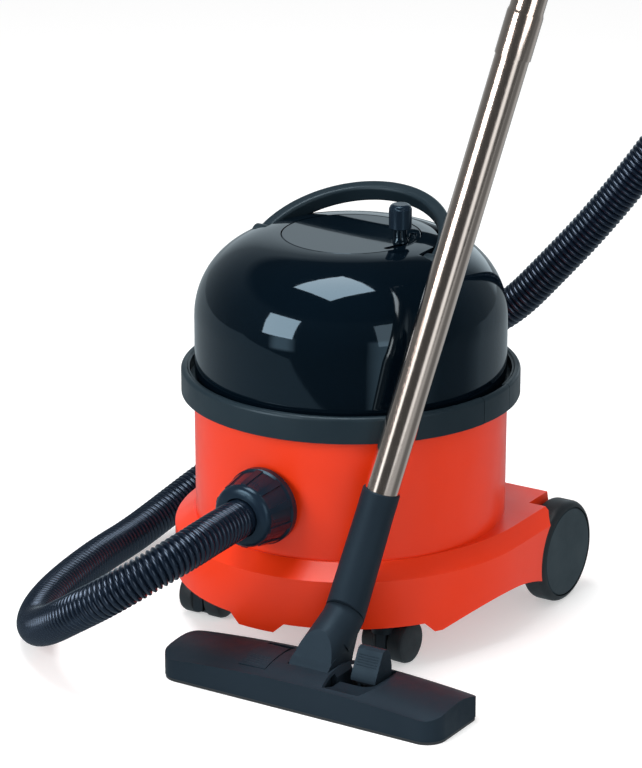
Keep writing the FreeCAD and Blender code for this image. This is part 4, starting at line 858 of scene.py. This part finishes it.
@dataclass
class Studio:
    """Camera, lamps, floor and surroundings."""

    eye: Point = (1.7130, -2.7858, 1.3427)
    towards_eye: Point = (0.503, -0.802, 0.322)
    lens: float = 166.3
    sensor: float = 36.0
    sight: float = 100.0
    room_light: float = 0.58
    room_tone: tuple[float, float, float, float] = (0.80, 0.93, 1.0, 1.0)
    room_steps: tuple[tuple[float, float], ...] = (
        (0.0, 0.06), (0.15, 0.09), (0.5, 0.13), (0.75, 0.22), (0.84, 0.27), (0.92, 0.34),
        (1.0, 1.0))
    dark_way: Point = (0.407, -0.914, 0.0)
    roof_edge: float = 0.62
    roof_soft: float = 0.06
    roof_light: float = 0.035
    strip_end_soft: float = 0.03
    least_core: float = 0.5
    strips: tuple[Strip, ...] = (
        Strip(-19.0, 7.0, 4.0, -0.14, 0.14, 1.6),
        Strip(57.0, 8.0, 7.0, -0.42, 0.16, 1.15),
        Strip(-170.0, 12.0, 9.0, -0.12, 0.55, 0.62))
    floor_colour: float = 0.80
    floor_glow: float = 0.40
    floor_mirrored: float = 0.46
    floor_front: float = 0.85
    floor_back: float = -12.0
    floor_half: float = 9.0
    flag_mirrored: float = 0.17
    flag_foot: Point = (0.08, -0.20, 0.0)
    flag_way: Point = (0.883, 0.469, 0.0)
    flag_spread: tuple[float, float] = (26.0, 10.0)
    aim: Point = (0.0, 0.0, 0.3)
    lamps: tuple[Softbox, ...] = (
        Softbox("overhead_softbox", (-0.15, -0.30, 2.40), 1.10, 9.0),
        Softbox("front_softbox", (-0.78, -1.95, 1.05), 0.95, 9.0),
        Softbox("side_softbox", (1.95, -0.95, 0.95), 1.10, 2.1))

    def hang(self, data: bpy.types.ID, place: Point, turn: Any) -> bpy.types.Object:
        """Hangs a camera or lamp in the scene.

        Args:
            data: The camera or lamp.
            place: Where it hangs.
            turn: Its rotation, as a quaternion.

        Returns:
            The new object.
        """
        made = bpy.data.objects.new(data.name, data)
        made.location = place
        made.rotation_mode = "QUATERNION"
        made.rotation_quaternion = turn
        bpy.context.scene.collection.objects.link(made)
        return made

    def camera(self) -> None:
        """Stands the camera where the photograph was taken from."""
        data = bpy.data.cameras.new("camera")
        data.lens = self.lens
        data.sensor_width = self.sensor
        data.clip_end = self.sight
        turn = Vector(self.towards_eye).to_track_quat("Z", "Y")
        bpy.context.scene.camera = self.hang(data, self.eye, turn)

    def lamp(self, box: Softbox) -> None:
        """Hangs a softbox that looks at the dome; its power gives the radiance asked for.

        Args:
            box: The softbox.
        """
        data = bpy.data.lights.new(box.name, "AREA")
        data.shape = "RECTANGLE"
        data.size = data.size_y = box.side
        data.energy = box.radiance * math.pi * box.side ** 2
        turn = (Vector(self.aim) - Vector(box.place)).to_track_quat("-Z", "Y")
        self.hang(data, box.place, turn)

    def surroundings(self) -> None:
        """A white room for the lens; reflections see a cool grey one with upright strips."""
        world = bpy.data.worlds.new("studio_room")
        world.use_nodes = True
        bpy.context.scene.world = world
        tree = world.node_tree
        tree.nodes.clear()

        def node(kind: str, operation: str = "", **inputs: Any) -> Socket:
            """Adds a node to the world.

            Args:
                kind: The node's type.
                operation: Its sum, where it has one.
                inputs: Values or sockets, by name or as n0, n1 and so on.

            Returns:
                Its first output, or the value of a dot product.
            """
            made = tree.nodes.new(kind)
            if operation:
                made.operation = operation
            for key, value in inputs.items():
                socket = made.inputs[int(key[1:]) if key[1:].isdigit() else key.replace("_", " ")]
                if isinstance(value, Socket):
                    tree.links.new(value, socket)
                else:
                    socket.default_value = value
            return made.outputs["Value"] if operation == "DOT_PRODUCT" else made.outputs[0]

        def edge(value: Socket, start: float, end: float, low: float, high: float) -> Socket:
            """Low where a value is at start and high where it is at end, even between them."""
            return node("ShaderNodeMapRange", Value=value, From_Min=start, From_Max=end,
                        To_Min=low, To_Max=high)

        def math_of(operation: str, first: Socket, second: Any) -> Socket:
            """A sum of two numbers or sockets."""
            return node("ShaderNodeMath", operation, n0=first, n1=second)

        coords = tree.nodes.new("ShaderNodeTexCoord").outputs["Generated"]
        level = node("ShaderNodeVectorMath", "NORMALIZE",
                     n0=node("ShaderNodeVectorMath", "MULTIPLY", n0=coords, n1=(1.0, 1.0, 0.0)))
        parts = tree.nodes.new("ShaderNodeSeparateXYZ")
        tree.links.new(coords, parts.inputs[0])
        height = parts.outputs["Z"]
        facing = node("ShaderNodeVectorMath", "DOT_PRODUCT", n0=coords, n1=self.dark_way)
        ramp = tree.nodes.new("ShaderNodeValToRGB")
        stops = ramp.color_ramp.elements
        stops.remove(stops[-1])
        for number, (place, grey) in enumerate(self.room_steps):
            stop = stops[0] if number == 0 else stops.new(place)
            stop.position = place
            stop.color = (grey, grey, grey, 1.0)
        tree.links.new(edge(facing, 1.0, -1.0, 0.0, 1.0), ramp.inputs[0])
        below_roof = edge(height, self.roof_edge - self.roof_soft,
                          self.roof_edge + self.roof_soft, 1.0, 0.0)
        mirror = math_of("MULTIPLY", ramp.outputs[0], below_roof)
        mirror = math_of("MAXIMUM", mirror, self.roof_light)
        end = self.strip_end_soft
        for strip in self.strips:
            angle = math.radians(strip.azimuth)
            way = (math.sin(angle), -math.cos(angle), 0.0)
            core = math.cos(math.radians(max(self.least_core, strip.half - strip.soft)))
            outer = math.cos(math.radians(strip.half + strip.soft))
            near = node("ShaderNodeVectorMath", "DOT_PRODUCT", n0=level, n1=way)
            across = edge(near, outer, core, 0.0, strip.light)
            rise = edge(height, strip.low - end, strip.low + end, 0.0, 1.0)
            fall = edge(height, strip.high + end, strip.high - end, 0.0, 1.0)
            tall = math_of("MULTIPLY", rise, fall)
            mirror = math_of("ADD", mirror, math_of("MULTIPLY", across, tall))
        ray = tree.nodes.new("ShaderNodeLightPath").outputs
        glossy = math_of("MAXIMUM", ray["Is Glossy Ray"], ray["Is Transmission Ray"])
        room = node("ShaderNodeMix", n0=glossy, n2=self.room_light, n3=mirror)
        seen = node("ShaderNodeMix", n0=ray["Is Camera Ray"], n2=room, n3=1.0)
        tone = tree.nodes.new("ShaderNodeMix")
        tone.data_type = "RGBA"
        tree.links.new(glossy, tone.inputs[0])
        tone.inputs[6].default_value = WHITE
        tone.inputs[7].default_value = self.room_tone
        back = node("ShaderNodeBackground", Strength=seen, Color=tone.outputs[2])
        out = tree.nodes.new("ShaderNodeOutputWorld")
        tree.links.new(back, out.inputs["Surface"])

    def dark_flag(self, sheet: ShaderSheet) -> Socket:
        """The light that reflections find on the floor.

        It is even, but low in a wedge to the right, as over a dark flag: where the way from the
        wand's foot to a point of the floor is near the flag's own way.

        Args:
            sheet: The floor's material.

        Returns:
            The socket of the strength.
        """
        way = sheet.vector("NORMALIZE", sheet.vector("SUBTRACT", sheet.place, self.flag_foot))
        near = sheet.vector("DOT_PRODUCT", way, self.flag_way)
        outer, inner = (math.cos(math.radians(angle)) for angle in self.flag_spread)
        dark = sheet.node("ShaderNodeMapRange", Value=near, From_Min=outer, From_Max=inner,
                          To_Min=self.floor_mirrored, To_Max=self.flag_mirrored)
        return dark.outputs["Result"]

    def floor(self) -> None:
        """A white floor that glows a little for the lens, so that it keeps the shadow."""
        ahead = np.array([self.towards_eye[0], self.towards_eye[1], 0.0])
        ahead /= np.linalg.norm(ahead)
        aside = np.array([-ahead[1], ahead[0], 0.0])
        near, far, half = self.floor_front, self.floor_back, self.floor_half
        rim = [tuple(ahead * u + aside * v)
               for u, v in ((near, -half), (near, half), (far, half), (far, -half))]
        mesh = bpy.data.meshes.new("floor")
        mesh.from_pydata(rim, [], [[0, 1, 2, 3]])
        floor = bpy.data.objects.new("floor", mesh)
        bpy.context.scene.collection.objects.link(floor)
        sheet = ShaderSheet("studio_floor")
        grey = self.floor_colour
        sheet.fix(Roughness=0.9, Specular_IOR_Level=0.0, Base_Color=(grey, grey, grey, 1.0))
        ray = sheet.node("ShaderNodeLightPath")
        glow = sheet.node("ShaderNodeEmission", Color=WHITE, Strength=self.floor_glow)
        mirrored = sheet.node("ShaderNodeEmission", Color=self.room_tone,
                              Strength=self.dark_flag(sheet))
        lit = sheet.node("ShaderNodeAddShader")
        for_lens = sheet.node("ShaderNodeMixShader")
        for_gloss = sheet.node("ShaderNodeMixShader")
        plain = sheet.shader.outputs["BSDF"]
        for source, target in (
                (plain, lit.inputs[0]), (glow.outputs[0], lit.inputs[1]),
                (ray.outputs["Is Camera Ray"], for_lens.inputs[0]),
                (plain, for_lens.inputs[1]), (lit.outputs[0], for_lens.inputs[2]),
                (ray.outputs["Is Glossy Ray"], for_gloss.inputs[0]),
                (for_lens.outputs[0], for_gloss.inputs[1]),
                (mirrored.outputs[0], for_gloss.inputs[2]),
                (for_gloss.outputs[0], sheet.output.inputs["Surface"])):
            sheet.tree.links.new(source, target)
        mesh.materials.append(sheet.material)

    def build(self) -> None:
        """Sets up the whole studio."""
        self.camera()
        self.surroundings()
        self.floor()
        for box in self.lamps:
            self.lamp(box)
        bpy.context.scene.view_settings.view_transform = "Standard"


def main() -> None:
    """Loads the frame and builds the studio and each sub-assembly."""
    logging.basicConfig(level=logging.INFO, format="%(message)s")
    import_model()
    Studio().build()
    for assembly in (SuctionHose(), SteelWand(), TubBody(), MotorHead(), FloorTool()):
        assembly.build()


if __name__ == "__main__":
    main()
